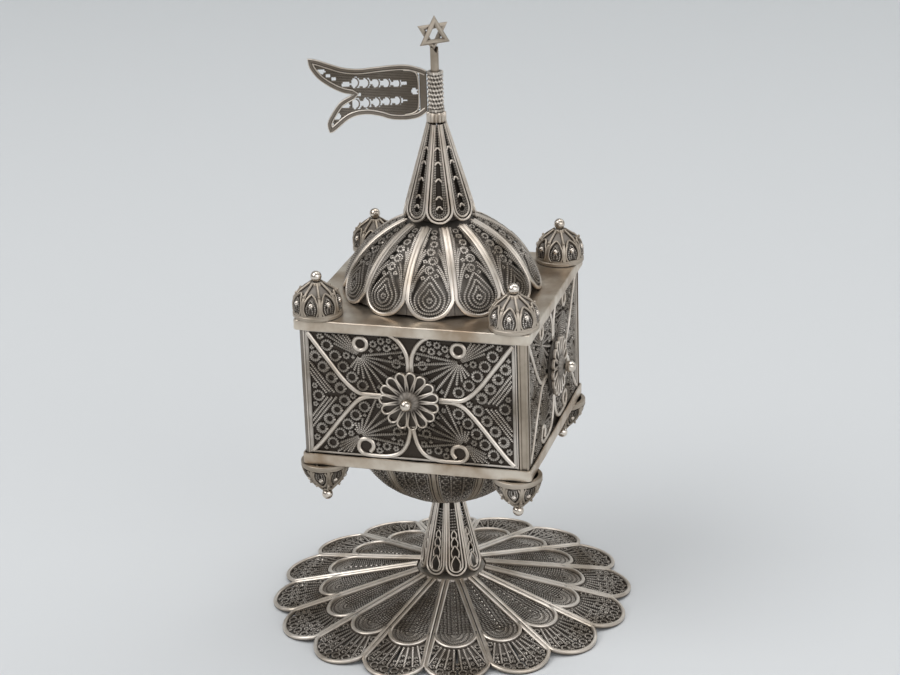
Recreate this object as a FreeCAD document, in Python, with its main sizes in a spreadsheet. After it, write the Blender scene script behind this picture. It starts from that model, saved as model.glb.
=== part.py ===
"""Silver filigree spice tower on a lobed foot, with a hinged door, dome, spire and weather vane.

Lengths are in millimetres and angles in degrees. The origin is at the centre of the foot,
on the surface that it stands on, with +Z up. The door is in the front wall, at -Y.
"""
import FreeCAD, Part
import Sketcher

import math
import os
from types import SimpleNamespace

from FreeCAD import Placement, Rotation, Vector

SIZES = {
    # Lobed foot: flat frames round thinner filigree, sloping up to the hub.
    "foot_lobes": 16,
    "foot_radius": 46.1,
    "foot_notch_depth": 4.9,
    "foot_lobe_reach": 11.9,
    "foot_rim": 1.2,
    "foot_land": 0.25,
    "foot_rise": 9.1,
    "foot_hub_radius": 8.4,
    "foot_filigree": 0.6,
    "foot_turn": 5.6,
    # Flat wire that frames each petal of the foot, and how far it stands proud.
    "frame_strip": 1.0,
    "frame_proud": 0.4,
    # Fluted stem of leaning petals.
    "leaf_count": 8,
    "leaf_plate": 0.9,
    "stem_foot_radius": 7.0,
    "stem_neck_radius": 2.7,
    "stem_height": 19.6,
    "stem_leaf_width": 5.6,
    "stem_leaf_top": 2.7,
    "stem_turn": -64.0,
    # Ribbed bowl below the box.
    "bowl_radius": 23.6,
    "bowl_depth": 18.4,
    "bowl_fullness": 1.85,
    # Trays that close the box, and the room between their rims.
    "lower_tray_half": 28.5,
    "lower_rim": 2.9,
    "upper_tray_half": 29.0,
    "upper_rim": 2.6,
    "rim_wall": 0.5,
    "tray_sheet": 0.8,
    "box_height": 32.1,
    # Walls, corner posts and the door with its hinge.
    "wall_half": 27.85,
    "wall_frame": 0.9,
    "wall_sheet": 0.4,
    "wall_seat_gap": 0.05,
    "post_width": 2.2,
    "post_flute": 0.3,
    "post_bead": 0.45,
    "door_rim_gap": 0.15,
    "door_post_gap": 0.25,
    "hinge_pin_radius": 0.45,
    "hinge_bore_gap": 0.05,
    "hinge_knuckle_wall": 0.45,
    "hinge_wall_gap": 0.2,
    # Scroll work on each wall: flat wire, eye rings and pierced slits.
    "scroll_strip": 1.1,
    "scroll_turn_radius": 6.5,
    "scroll_foot": 10.4,
    "eye_radius": 2.1,
    "eye_hole": 1.0,
    "eye_across": 11.8,
    "eye_inset": 2.9,
    # Rosettes on the walls.
    "rosette_petals": 15,
    "rosette_radius": 7.5,
    "rosette_waist": 3.4,
    "rosette_plate": 0.7,
    "rosette_lift": 0.9,
    "rosette_cone": 2.6,
    "rosette_ball": 1.45,
    # Crowns on the four corners, above and below.
    "crown_inset": 24.06,
    "crown_radius": 6.0,
    "crown_band": 1.5,
    "crown_height": 8.2,
    "crown_cap": 1.5,
    "crown_wall": 0.8,
    "crown_ball": 1.35,
    "crown_turn": -88.0,
    # Lobed dome.
    "dome_lobes": 12,
    "dome_radius": 24.4,
    "dome_height": 19.9,
    "dome_fullness": 1.8,
    "dome_bulge": 0.9,
    "dome_turn": 23.3,
    "shell_wall": 0.9,
    "bar_width": 1.9,
    "bar_proud": 0.35,
    # Spire of leaning petals and the collar on it.
    "spire_foot_radius": 8.0,
    "spire_neck_radius": 1.5,
    "spire_height": 23.0,
    "spire_leaf_width": 6.6,
    "spire_leaf_top": 2.0,
    "spire_turn": -74.0,
    "leaf_seat_gap": 0.15,
    "collar_radius": 2.45,
    "collar_height": 2.5,
    "collar_ribs": 12,
    "collar_rib_depth": 0.35,
    # Weather vane that turns on the rod, and the star on the rod's end.
    "rod_radius": 1.0,
    "rod_length": 15.6,
    "sleeve_bore_gap": 0.05,
    "sleeve_wall": 1.0,
    "sleeve_length": 9.7,
    "sleeve_lift": 0.15,
    "vane_turn": 195.9,
    "flag_length": 28.3,
    "flag_root": 10.6,
    "flag_plate": 0.8,
    "flag_edge": 0.9,
    "star_side": 7.8,
    "star_strip": 1.1,
    "star_plate": 1.0,
    "star_turn": 43.0,
    "fork_depth": 1.3,
}

DOC = FreeCAD.newDocument("spice_tower")
SIDES = ("front", "right", "back", "left")


class Length:
    """A size that knows its number and the sheet formula it is bound by."""

    def __init__(self, number, formula):
        self.number = number
        self.formula = formula

    def __float__(self):
        return float(self.number)

    def __add__(self, other):
        return joined(self, "+", other)

    def __radd__(self, other):
        return joined(other, "+", self)

    def __sub__(self, other):
        return joined(self, "-", other)

    def __rsub__(self, other):
        return joined(other, "-", self)

    def __mul__(self, other):
        return joined(self, "*", other)

    def __rmul__(self, other):
        return joined(other, "*", self)

    def __truediv__(self, other):
        return joined(self, "/", other)

    def __rtruediv__(self, other):
        return joined(other, "/", self)

    def __pow__(self, other):
        return joined(self, "^", other)

    def __neg__(self):
        return joined(0, "-", self)


OPERATIONS = {
    "+": lambda a, b: a + b,
    "-": lambda a, b: a - b,
    "*": lambda a, b: a * b,
    "/": lambda a, b: a / b,
    "^": lambda a, b: a ** b,
}


def as_length(value):
    """A plain number as a Length."""
    return value if isinstance(value, Length) else Length(float(value), repr(float(value)))


def joined(first, sign, second):
    """Two sizes joined by one operation, in number and in formula."""
    a = as_length(first)
    b = as_length(second)
    return Length(OPERATIONS[sign](a.number, b.number), f"({a.formula} {sign} {b.formula})")


def make_sheet():
    """The driving sizes as a spreadsheet, one alias a row."""
    sheet = DOC.addObject("Spreadsheet::Sheet", "Sizes")
    for row, (alias, number) in enumerate(SIZES.items(), start=1):
        sheet.set(f"A{row}", alias)
        sheet.set(f"B{row}", str(number))
        sheet.setAlias(f"B{row}", alias)
    DOC.recompute()
    return sheet


SHEET = make_sheet()
N = SimpleNamespace(**{alias: float(getattr(SHEET, alias)) for alias in SIZES})
S = SimpleNamespace(**{alias: Length(getattr(N, alias), "Sizes." + alias) for alias in SIZES})

# Heights above the ground, from the foot up.
STEM_FOOT = S.foot_rise
BOWL_FOOT = STEM_FOOT + S.stem_height
LOWER_TRAY = BOWL_FOOT + S.bowl_depth
FLOOR = LOWER_TRAY + S.tray_sheet
SILL = LOWER_TRAY + S.lower_rim
LINTEL = SILL + S.box_height
ROOF = LINTEL + S.upper_rim
CEILING = ROOF - S.tray_sheet
SPIRE_SEAT = (1 - (S.spire_foot_radius / S.dome_radius) ** S.dome_fullness) ** (1 / S.dome_fullness)
SPIRE_FOOT = ROOF + S.dome_height * SPIRE_SEAT + S.leaf_seat_gap
SPIRE_LEAN = S.spire_foot_radius - S.spire_neck_radius
SPIRE_SLOPE = (SPIRE_LEAN ** 2 + S.spire_height ** 2) ** 0.5
COLLAR_FOOT = SPIRE_FOOT + S.spire_height + S.leaf_plate * SPIRE_LEAN / SPIRE_SLOPE
ROD_FOOT = COLLAR_FOOT + S.collar_height
ROD_TOP = ROD_FOOT + S.rod_length
SLEEVE_FOOT = ROD_FOOT + S.sleeve_lift

# Hinge line of the door: one knuckle radius in from both outer faces of the box.
KNUCKLE_RADIUS = S.hinge_pin_radius + S.hinge_bore_gap + S.hinge_knuckle_wall
HINGE_LINE = S.wall_half - KNUCKLE_RADIUS
POST_INNER = S.wall_half - S.post_width
DOOR_END = POST_INNER - S.door_post_gap
WALL_BACK = S.wall_half - S.wall_frame


def bind(obj, path, size):
    """Ties one property of an object to its size."""
    obj.setExpression(path, as_length(size).formula)


def place(obj, x=0, y=0, z=0, rotation=None):
    """Sets an object's place, bound to the sizes, after its shape is there."""
    spot = Vector(float(x), float(y), float(z))
    obj.Placement = Placement(spot, rotation or Rotation())
    for axis, size in (("x", x), ("y", y), ("z", z)):
        if isinstance(size, Length):
            bind(obj, f"Placement.Base.{axis}", size)


def named(kind, label):
    """A new document object with its own label."""
    obj = DOC.addObject(kind, label)
    obj.Label = label
    return obj


def solid_feature(label, shape):
    """A free-form piece whose shape is worked out from the sheet's sizes."""
    obj = named("Part::Feature", label)
    obj.Shape = shape.removeSplitter()
    return obj


def about_z(angle):
    return Rotation(Vector(0, 0, 1), float(angle))


def upright(angle):
    """Turns a flat piece drawn in XY to stand up, facing -Y, then turns it about Z."""
    return about_z(angle) * Rotation(Vector(1, 0, 0), 90)


def polar_point(radius, angle, z=0.0):
    turn = math.radians(angle)
    return Vector(radius * math.cos(turn), radius * math.sin(turn), z)


def arc_points(centre, radius, start, end, steps):
    """Points along an arc, both ends included."""
    turns = [start + (end - start) * k / steps for k in range(steps + 1)]
    return [Vector(*centre, 0) + polar_point(radius, turn) for turn in turns]


def flat_face(points):
    return Part.Face(Part.makePolygon(list(points) + [points[0]]))


def ring_loft(rings):
    """Closed solid of flat faces through rings that are scaled copies of one outline."""
    faces = [flat_face(rings[0]), flat_face(rings[-1])]
    for low, high in zip(rings, rings[1:]):
        for k in range(len(low)):
            j = (k + 1) % len(low)
            faces.append(flat_face([low[k], low[j], high[j], high[k]]))
    solid = Part.Solid(Part.Shell(faces))
    return solid if solid.Volume > 0 else solid.reversed()


def fused(shapes):
    return shapes[0].multiFuse(shapes[1:]) if len(shapes) > 1 else shapes[0]


def strip_face(path, width):
    """Flat wire of even width along a path: each point is moved both ways along its mitre."""
    left, right = [], []
    for k, point in enumerate(path):
        before = (point - path[k - 1]).normalize() if k else None
        after = (path[k + 1] - point).normalize() if k + 1 < len(path) else None
        ahead = ((before or after) + (after or before)).normalize()
        side = Vector(-ahead.y, ahead.x, 0)
        reach = width / 2 / max(0.3, ahead.dot(after or before))
        left.append(point + side * reach)
        right.append(point - side * reach)
    return flat_face(left + right[::-1])


def raised(face, height, base=0.0):
    """A flat face carried up into a plate."""
    plate = face.copy()
    plate.translate(Vector(0, 0, base))
    return plate.extrude(Vector(0, 0, height))


def turned_copies(shape, count, start=0.0):
    """Copies of a shape evenly round Z."""
    copies = []
    for k in range(count):
        copy = shape.copy()
        copy.rotate(Vector(), Vector(0, 0, 1), start + 360 * k / count)
        copies.append(copy)
    return copies


def origin_plane(body, role):
    return next(feature for feature in body.Origin.OriginFeatures if feature.Role == role)


def corner_rule(sketch, line, axis_rule, own_axis, size):
    """Fixes one coordinate of a corner from the sketch's origin."""
    length = as_length(size)
    if length.number == 0:
        sketch.addConstraint(Sketcher.Constraint("PointOnObject", line, 1, own_axis))
        return
    ends = (-1, 1, line, 1) if length.number > 0 else (line, 1, -1, 1)
    rule = sketch.addConstraint(Sketcher.Constraint(axis_rule, *ends, abs(length.number)))
    bind(sketch, f"Constraints[{rule}]", length if length.number > 0 else -length)


def bound_sketch(body, role, name, loops):
    """Sketch of closed outlines, each corner tied to its sizes."""
    sketch = body.newObject("Sketcher::SketchObject", name)
    sketch.AttachmentSupport = (origin_plane(body, role), [""])
    sketch.MapMode = "FlatFace"
    for corners in loops:
        first = sketch.GeometryCount
        ends = [Vector(float(x), float(y), 0) for x, y in corners]
        for k, end in enumerate(ends):
            sketch.addGeometry(Part.LineSegment(end, ends[(k + 1) % len(ends)]), False)
        for k, (x, y) in enumerate(corners):
            line = first + k
            following = first + (k + 1) % len(corners)
            sketch.addConstraint(Sketcher.Constraint("Coincident", line, 2, following, 1))
            corner_rule(sketch, line, "DistanceX", -2, x)
            corner_rule(sketch, line, "DistanceY", -1, y)
    return sketch


def add_pad(body, sketch, length):
    pad = body.newObject("PartDesign::Pad", "Pad")
    pad.Profile = sketch
    pad.Length = float(length)
    bind(pad, "Length", length)
    return pad


def padded_body(label, role, loops, length):
    """A piece cut from sheet or bar: one sketch, padded."""
    body = named("PartDesign::Body", label)
    add_pad(body, bound_sketch(body, role, "Outline", loops), length)
    return body


def square(half):
    return [(-half, -half), (half, -half), (half, half), (-half, half)]


def cylinder(label, radius, height):
    obj = named("Part::Cylinder", label)
    bind(obj, "Radius", radius)
    bind(obj, "Height", height)
    return obj


def cut_from(label, base, tool):
    """The base less the tool, as one document object."""
    obj = named("Part::Cut", label)
    obj.Base = base
    obj.Tool = tool
    return obj


LOBE_STEPS = 5
PETAL_STEPS = 4
# Half angle of the inner petal's end that the outer lobe runs along, and where the slits that
# fan out across the lobe end on its arc, as shares of the arc's half angle.
PETAL_SHARED = 58
LOBE_SLITS = (-0.8, 0, 0.8)


def make_foot():
    """Scalloped foot: a hub, frames of flat wire round each petal, and filigree between."""
    step = 360 / N.foot_lobes
    lobes = int(N.foot_lobes)
    centre, radius, half_turn = foot_lobe(step)
    lobe = arc_points((centre, 0), radius, -half_turn, half_turn, LOBE_STEPS)
    rim = []
    for k in range(lobes):
        rim += [about_z(step * (k + 0.5)).multVec(point) for point in lobe[:-1]]
    outline = flat_face(rim)
    frames = outline.cut(fused(turned_copies(foot_windows(step), lobes, step / 2)))
    frames = raised(frames, 2 * N.foot_rise).common(foot_layer(0, N.foot_rim))
    low = N.frame_proud
    wide = 2 * N.foot_radius
    slits = fused(turned_copies(fused(foot_slits(step)), lobes, step / 2))
    filigree = raised(outline.cut(slits), 2 * N.foot_rise).common(foot_layer(low, low + N.foot_filigree))
    ground = raised(flat_face([Vector(x * wide, y * wide, 0) for x, y in square(1)]), -N.foot_rise)
    foot = solid_feature("foot", frames.fuse(filigree).cut(ground))
    place(foot, rotation=about_z(N.foot_turn))
    return foot


def foot_lobe(step):
    """Centre distance, radius and half angle of the arc that ends one lobe."""
    notch_radius = N.foot_radius - N.foot_notch_depth
    chord = notch_radius * math.cos(math.radians(step / 2))
    notch_half = notch_radius * math.sin(math.radians(step / 2))
    sagitta = N.foot_radius - chord
    radius = (notch_half ** 2 + sagitta ** 2) / (2 * sagitta)
    half_turn = math.degrees(math.atan2(notch_half, radius - sagitta))
    return N.foot_radius - radius, radius, half_turn


def foot_windows(step):
    """Openings of one sector's frames, along +X: the inner petal and the outer lobe."""
    spread = math.tan(math.radians(step / 2))
    near = N.foot_hub_radius + 2 * N.frame_strip
    reach = N.foot_radius - N.foot_lobe_reach - N.frame_strip
    shoulder = reach / (1 + spread)
    half = shoulder * spread - N.frame_strip
    narrow = near * spread - N.frame_strip
    petal_end = arc_points((shoulder, 0), half, -90, 90, PETAL_STEPS)
    petal = flat_face([Vector(near, narrow, 0), Vector(near, -narrow, 0)] + petal_end)
    centre, radius, half_turn = foot_lobe(step)
    inner_end = arc_points((shoulder, 0), half + N.frame_strip, -PETAL_SHARED, PETAL_SHARED, PETAL_STEPS - 1)
    lobe_end = arc_points((centre, 0), radius - N.frame_strip, half_turn, -half_turn, LOBE_STEPS)
    return fused([petal, flat_face(inner_end + lobe_end)])


def foot_slits(step):
    """Slits of one outer lobe, which fan out from the inner petal's end to the rim."""
    spread = math.tan(math.radians(step / 2))
    reach = N.foot_radius - N.foot_lobe_reach
    shoulder = (reach - N.frame_strip) / (1 + spread)
    near = reach - shoulder + N.frame_strip
    centre, radius, half_turn = foot_lobe(step)
    middle = Vector(shoulder, 0, 0)
    slits = []
    for share in LOBE_SLITS:
        tip = Vector(centre, 0, 0) + polar_point(radius - 2 * N.frame_strip, share * half_turn)
        ahead = (tip - middle).normalize()
        side = Vector(-ahead.y, ahead.x, 0) * (N.frame_strip / 2)
        slits.append(flat_face([middle + ahead * near, tip - side, tip + side]))
    return slits


def foot_layer(top, bottom):
    """Layer of the foot's slope, from one depth below its top face to another.

    Each sector is flat between its two bars.
    """
    wide = N.foot_radius + N.frame_strip
    fall = (N.foot_rise - N.foot_rim + N.foot_land) / (N.foot_radius - N.foot_hub_radius)
    drop = fall * (wide - N.foot_hub_radius)
    levels = ((wide, N.foot_rise - drop), (N.foot_hub_radius, N.foot_rise))
    flats = math.cos(math.pi / N.foot_lobes)
    solids = []
    for depth in (top, bottom):
        low = [(levels[0][0], levels[0][1] - 4 * N.foot_rise)]
        rings = []
        for radius, z in low + [(radius, z - depth) for radius, z in levels]:
            rings.append([polar_point(radius / flats, 360 * k / N.foot_lobes, z)
                          for k in range(int(N.foot_lobes))])
        solids.append(ring_loft(rings))
    return solids[0].cut(solids[1])


# Edge of a petal's rounded foot, and its pointed window, as shares of half its width;
# the window's tip is a share of the petal's length.
PETAL_FOOT = ((1, 1), (0.87, 0.5), (0.5, 0.13))
WINDOW_LOW = 0.45
WINDOW_HALF = 0.5
WINDOW_WIDEST = 1.1
WINDOW_TIP = 0.72


def leaf_body(label, foot_radius, neck_radius, height, width, top_width):
    """Ring of flat petals that lean together, each pierced by a pointed window."""
    body = named("PartDesign::Body", label)
    lean = foot_radius - neck_radius
    slope = (lean ** 2 + height ** 2) ** 0.5
    half = width / 2
    left = [(-half * across, half * up) for across, up in PETAL_FOOT]
    right = [(half * across, half * up) for across, up in PETAL_FOOT[::-1]]
    outline = [(-top_width / 2, slope)] + left + [(0, 0)] + right + [(top_width / 2, slope)]
    window = [
        (0, half * WINDOW_LOW),
        (half * WINDOW_HALF, half * WINDOW_WIDEST),
        (0, slope * WINDOW_TIP),
        (-half * WINDOW_HALF, half * WINDOW_WIDEST),
    ]
    sketch = bound_sketch(body, "XZ_Plane", "Petal", [outline, window])
    angle = math.degrees(math.atan2(float(lean), float(height)))
    tilt = Rotation(Vector(-1, 0, 0), angle)
    sketch.AttachmentOffset = Placement(Vector(0, 0, float(foot_radius)), tilt)
    bind(sketch, "AttachmentOffset.Base.z", foot_radius)
    bind(sketch, "AttachmentOffset.Rotation.Angle", Length(angle, leaf_angle(lean, height)))
    pad = add_pad(body, sketch, S.leaf_plate)
    DOC.recompute()
    pattern = body.newObject("PartDesign::PolarPattern", "Ring")
    pattern.Originals = [pad]
    pattern.Axis = (origin_plane(body, "Z_Axis"), [""])
    pattern.Angle = 360
    bind(pattern, "Occurrences", S.leaf_count)
    body.Tip = pattern
    return body


def leaf_angle(lean, height):
    return f"atan2({lean.formula}; {height.formula})"


def make_stem():
    body = leaf_body(
        "stem", S.stem_foot_radius, S.stem_neck_radius, S.stem_height - stem_rise(),
        S.stem_leaf_width, S.stem_leaf_top)
    place(body, z=STEM_FOOT, rotation=about_z(N.stem_turn + 90))
    return body


def stem_rise():
    """How far the outer corners of the leaning petals stand above their inner ones."""
    lean = S.stem_foot_radius - S.stem_neck_radius
    return S.leaf_plate * lean / (lean ** 2 + S.stem_height ** 2) ** 0.5


def make_spire():
    body = leaf_body(
        "spire", S.spire_foot_radius, S.spire_neck_radius, S.spire_height,
        S.spire_leaf_width, S.spire_leaf_top)
    place(body, z=SPIRE_FOOT, rotation=about_z(N.spire_turn + 90))
    return body


def superellipse(radius, height, fullness, share):
    """Radius and height on a superellipse, a share of a right angle up from its wide rim."""
    turn = math.radians(90 * share)
    return radius * math.cos(turn) ** (2 / fullness), height * math.sin(turn) ** (2 / fullness)


def lobed_ring(count, steps, radius, bulge, z):
    """Ring of lobes that swell between notches, as points."""
    points = []
    for k in range(count * steps):
        swell = math.sin(math.pi * (k % steps) / steps)
        points.append(polar_point(radius + bulge * swell, 360 * k / (count * steps), z))
    return points


def lobed_shell(count, steps, radius, height, fullness, bulge, levels):
    """Hollow dome of lobes, open below and closed at the crown."""
    rings, hollow = [], []
    for share in levels:
        ring_radius, z = superellipse(radius - bulge, height, fullness, share)
        swell = bulge * ring_radius / (radius - bulge)
        rings.append(lobed_ring(count, steps, ring_radius, swell, z))
    inner_radius = radius - bulge - N.shell_wall
    for share in levels:
        ring_radius, z = superellipse(inner_radius, height - N.shell_wall, fullness, share)
        hollow.append(lobed_ring(count, 1, ring_radius, 0, z))
    return ring_loft(rings).cut(ring_loft(hollow))


def bar_plate(radius, height, fullness, levels, stop):
    """One flat bar up the side of a dome, in the XZ plane, from the rim to the stop radius."""
    outer, inner = [], []
    for share in levels:
        x, z = superellipse(radius, height, fullness, share)
        if x < stop:
            continue
        outer.append(Vector(x + N.bar_proud, -N.bar_width / 2, z))
        inner.append(Vector(x - N.shell_wall / 2, -N.bar_width / 2, z))
    return flat_face(outer + inner[::-1]).extrude(Vector(0, N.bar_width, 0))


DOME_LEVELS = (0, 0.1, 0.2, 0.33, 0.48, 0.62, 0.75, 0.86, 0.95)
# Pierced windows of each dome lobe: foot, widest place and tip as shares of the dome's height,
# and half the width as a share of the lobe's.
DOME_WINDOWS = ((0.14, 0.24, 0.46, 0.2), (0.52, 0.6, 0.76, 0.13))


def dome_windows(lobes):
    """Tools that pierce one lobe along +X with kite-shaped windows, one above another."""
    tools = []
    lobe = 2 * math.pi * N.dome_radius / lobes
    for low, widest, tip, share in DOME_WINDOWS:
        corners = [(0, low), (share * lobe, widest), (0, tip), (-share * lobe, widest)]
        kite = flat_face([Vector(0, y, z * N.dome_height) for y, z in corners])
        tools.append(kite.extrude(Vector(2 * N.dome_radius, 0, 0)))
    return tools


def make_dome():
    """Melon dome: pierced lobes between flat bars."""
    lobes = int(N.dome_lobes)
    waist = N.dome_radius - N.dome_bulge
    shell = lobed_shell(lobes, 4, N.dome_radius, N.dome_height, N.dome_fullness, N.dome_bulge, DOME_LEVELS)
    stop = N.spire_foot_radius + N.leaf_plate
    bar = bar_plate(waist, N.dome_height, N.dome_fullness, DOME_LEVELS, stop)
    windows = turned_copies(fused(dome_windows(lobes)), lobes, 180 / lobes)
    dome = fused([shell] + turned_copies(bar, lobes)).cut(fused(windows))
    obj = solid_feature("dome", dome)
    place(obj, z=ROOF, rotation=about_z(N.dome_turn))
    return obj


BOWL_LEVELS = (0, 0.15, 0.32, 0.5, 0.68, 0.84, 0.94)


def make_bowl():
    """Ribbed bowl: a shallow lobed shell turned upside down, with a flat bar in each notch."""
    lobes = int(N.dome_lobes)
    shell = lobed_shell(lobes, 2, N.bowl_radius, N.bowl_depth, N.bowl_fullness, N.dome_bulge / 2, BOWL_LEVELS)
    waist = N.bowl_radius - N.dome_bulge / 2
    bar = bar_plate(waist, N.bowl_depth, N.bowl_fullness, BOWL_LEVELS, 2 * N.stem_foot_radius)
    bowl = fused([shell] + turned_copies(bar, lobes))
    bowl.rotate(Vector(), Vector(1, 0, 0), 180)
    obj = solid_feature("bowl", bowl)
    place(obj, z=LOWER_TRAY, rotation=about_z(N.dome_turn))
    return obj


def tray_body(label, half, rim, opens_up):
    """Square tray: a sheet with a rim of flat strip round it."""
    body = padded_body(label, "XY_Plane", [square(half)], rim)
    DOC.recompute()
    sketch = bound_sketch(body, "XY_Plane", "Hollow", [square(half - S.rim_wall)])
    pocket = body.newObject("PartDesign::Pocket", "Pocket")
    pocket.Profile = sketch
    pocket.Length = float(rim - S.tray_sheet)
    bind(pocket, "Length", rim - S.tray_sheet)
    if opens_up:
        sketch.AttachmentOffset = Placement(Vector(0, 0, float(rim)), Rotation())
        bind(sketch, "AttachmentOffset.Base.z", rim)
    else:
        pocket.Reversed = True
    return body


def make_trays():
    lower = tray_body("lower_tray", S.lower_tray_half, S.lower_rim, True)
    place(lower, z=LOWER_TRAY)
    upper = tray_body("upper_tray", S.upper_tray_half, S.upper_rim, False)
    place(upper, z=LINTEL)
    return [lower, upper]


def make_posts():
    """Corner posts: square bar with a shallow flute down each outer face."""
    flute = S.post_flute
    bead = S.post_bead
    width = S.post_width
    section = [
        (0, 0), (bead, 0), (bead, flute), (width - bead, flute), (width - bead, 0), (width, 0),
        (width, bead), (width - flute, bead), (width - flute, width - bead), (width, width - bead),
        (width, width), (0, width),
    ]
    posts = []
    corners = {"front_right": (1, -1), "back_right": (1, 1), "back_left": (-1, 1)}
    for turn, (name, (across, along)) in enumerate(corners.items()):
        post = padded_body(f"corner_post_{name}", "XY_Plane", [section], CEILING - FLOOR)
        x = POST_INNER if turn == 0 else S.wall_half * across
        y = -S.wall_half if turn == 0 else (POST_INNER if turn == 1 else S.wall_half)
        x = -POST_INNER if turn == 2 else x
        place(post, x=x, y=y, z=FLOOR, rotation=about_z(90 * turn))
        posts.append(post)
    return posts


# End of the corner scroll's bend; angles of the slits that fan out from each eye ring and
# their length as a share of the half height; places of the diamonds beyond the scroll.
BEND_END = -38
FAN_TURNS = (200, 220, 240)
FAN_REACH = 0.4
DIAMONDS = ((0.9, 0.14), (0.9, 0.42), (0.74, 0.14))
DIAMOND_SIZE = 0.7


def wall_scrolls(half_width, half_height):
    """Flat wire of one quarter of a wall: the corner scroll, the upright scroll and its eye."""
    turn = N.scroll_turn_radius
    strip = N.scroll_strip
    corner = Vector(half_width - strip, half_height - strip, 0)
    bend = arc_points((N.scroll_foot, strip / 2 + turn), turn, -90, BEND_END, 2)
    rosette_edge = Vector(N.rosette_waist, strip / 2, 0)
    diagonal = strip_face([rosette_edge] + bend + [corner], strip)
    eye = (N.eye_across, half_height - N.eye_inset)
    rise = half_height - strip / 2
    fork = N.eye_across / 2
    start = Vector(strip / 2, N.rosette_waist, 0)
    sweep = arc_points((fork, rise - fork + strip / 2), fork - strip / 2, 180, 90, 3)
    upright_scroll = strip_face([start] + sweep + [Vector(N.eye_across, rise, 0)], strip)
    ring = flat_face(arc_points(eye, N.eye_radius, 0, 360, 8)[:-1])
    return [diagonal, upright_scroll, ring], eye


def wall_slits(half_width, half_height, eye):
    """Pierced slits of one quarter: a fan round the eye, and diamonds beyond the scroll."""
    slits = []
    for turn in FAN_TURNS:
        near = Vector(*eye, 0) + polar_point(N.eye_radius + 2 * N.scroll_strip, turn)
        far = near + polar_point(FAN_REACH * half_height, turn)
        side = polar_point(N.scroll_strip / 3, turn + 90)
        slits.append(flat_face([near, far - side, far + side]))
    size = N.scroll_strip * DIAMOND_SIZE
    for across, up in DIAMONDS:
        centre = Vector(half_width * across, half_height * up, 0)
        slits.append(flat_face(arc_points((centre.x, centre.y), size, 0, 360, 4)[:-1]))
    return slits


def mirrored(faces):
    """Faces of one quarter, in all four quarters."""
    copies = []
    for face in faces:
        for across in (False, True):
            side = face.mirror(Vector(), Vector(1, 0, 0)) if across else face
            copies += [side, side.mirror(Vector(), Vector(0, 1, 0))]
    return copies


def wall_panel(half_width, half_height):
    """Pierced filigree panel: thin sheet behind a frame and scrolls of flat wire."""
    strip = N.scroll_strip
    scrolls, eye = wall_scrolls(half_width, half_height)
    outline = flat_face([Vector(x * half_width, y * half_height, 0)
                         for x, y in square(1)])
    inside = flat_face([Vector(x * (half_width - strip), y * (half_height - strip), 0)
                        for x, y in square(1)])
    hub = flat_face(arc_points((0, 0), N.rosette_waist + strip, 0, 360, 8)[:-1])
    wires = fused([outline.cut(inside), hub] + mirrored(scrolls)).common(outline)
    holes = mirrored([flat_face(arc_points(eye, N.eye_hole, 0, 360, 6)[:-1])])
    slits = mirrored(wall_slits(half_width, half_height, eye))
    sheet = raised(outline.cut(fused(holes + slits)), N.wall_sheet)
    return sheet.fuse(raised(wires.cut(fused(holes)), N.wall_frame)).removeSplitter()


def make_walls():
    """Three fixed walls, which stand between the trays' sheets."""
    walls = []
    half_height = float(CEILING - FLOOR) / 2 - N.wall_seat_gap
    post = float(POST_INNER)
    free_end = float(S.wall_half - 2 * KNUCKLE_RADIUS - S.hinge_wall_gap)
    middle = (FLOOR + CEILING) / 2
    for side, turn in (("right", 90), ("back", 180), ("left", 270)):
        near, far = (-post, free_end) if side == "left" else (-post, post)
        panel = wall_panel((far - near) / 2, half_height)
        obj = solid_feature(f"wall_{side}", panel)
        offset = (far + near) / 2
        out = polar_point(float(WALL_BACK), turn - 90)
        along = polar_point(offset, turn)
        spot = out + along
        obj.Placement = Placement(Vector(spot.x, spot.y, 0), upright(turn))
        bind(obj, "Placement.Base.z", middle)
        walls.append(obj)
    return walls


def door_middle():
    return (DOOR_END - HINGE_LINE) / 2


def make_door():
    """Front wall on its hinge: the panel and the long knuckle are one piece."""
    half_width = float(DOOR_END + HINGE_LINE) / 2
    half_height = float(S.box_height - 2 * S.door_rim_gap) / 2
    panel = wall_panel(half_width, half_height)
    axis = Vector(-half_width, -half_height, float(S.wall_frame - KNUCKLE_RADIUS))
    up = Vector(0, 1, 0)
    knuckle = Part.makeCylinder(float(KNUCKLE_RADIUS), 2 * half_height, axis, up)
    bore = Part.makeCylinder(N.hinge_pin_radius + N.hinge_bore_gap, 2 * half_height, axis, up)
    door = solid_feature("door", panel.fuse(knuckle).cut(bore))
    place(door, x=door_middle(), y=-WALL_BACK, z=(SILL + LINTEL) / 2, rotation=upright(0))
    pin = cylinder("door_hinge_pin", S.hinge_pin_radius, CEILING - FLOOR)
    place(pin, x=-HINGE_LINE, y=-HINGE_LINE, z=FLOOR)
    return [door, pin]


BALL_POLE = 72
BALL_FLAT = math.sin(math.radians(BALL_POLE))


def faceted_ball(radius, corners=10, bands=4):
    """Small soldered ball, flat at both poles, as rings of facets."""
    rings = []
    for k in range(bands + 1):
        tilt = math.radians(BALL_POLE * (2 * k / bands - 1))
        rings.append([polar_point(radius * math.cos(tilt), 360 * j / corners, radius * math.sin(tilt))
                      for j in range(corners)])
    return ring_loft(rings)


# Shoulders of a looped petal: share of the radius, and of the petal's angle, from its middle.
LOOP_RADIUS = 0.9
LOOP_TURN = 0.4
CONE_SIDES = 8


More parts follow.
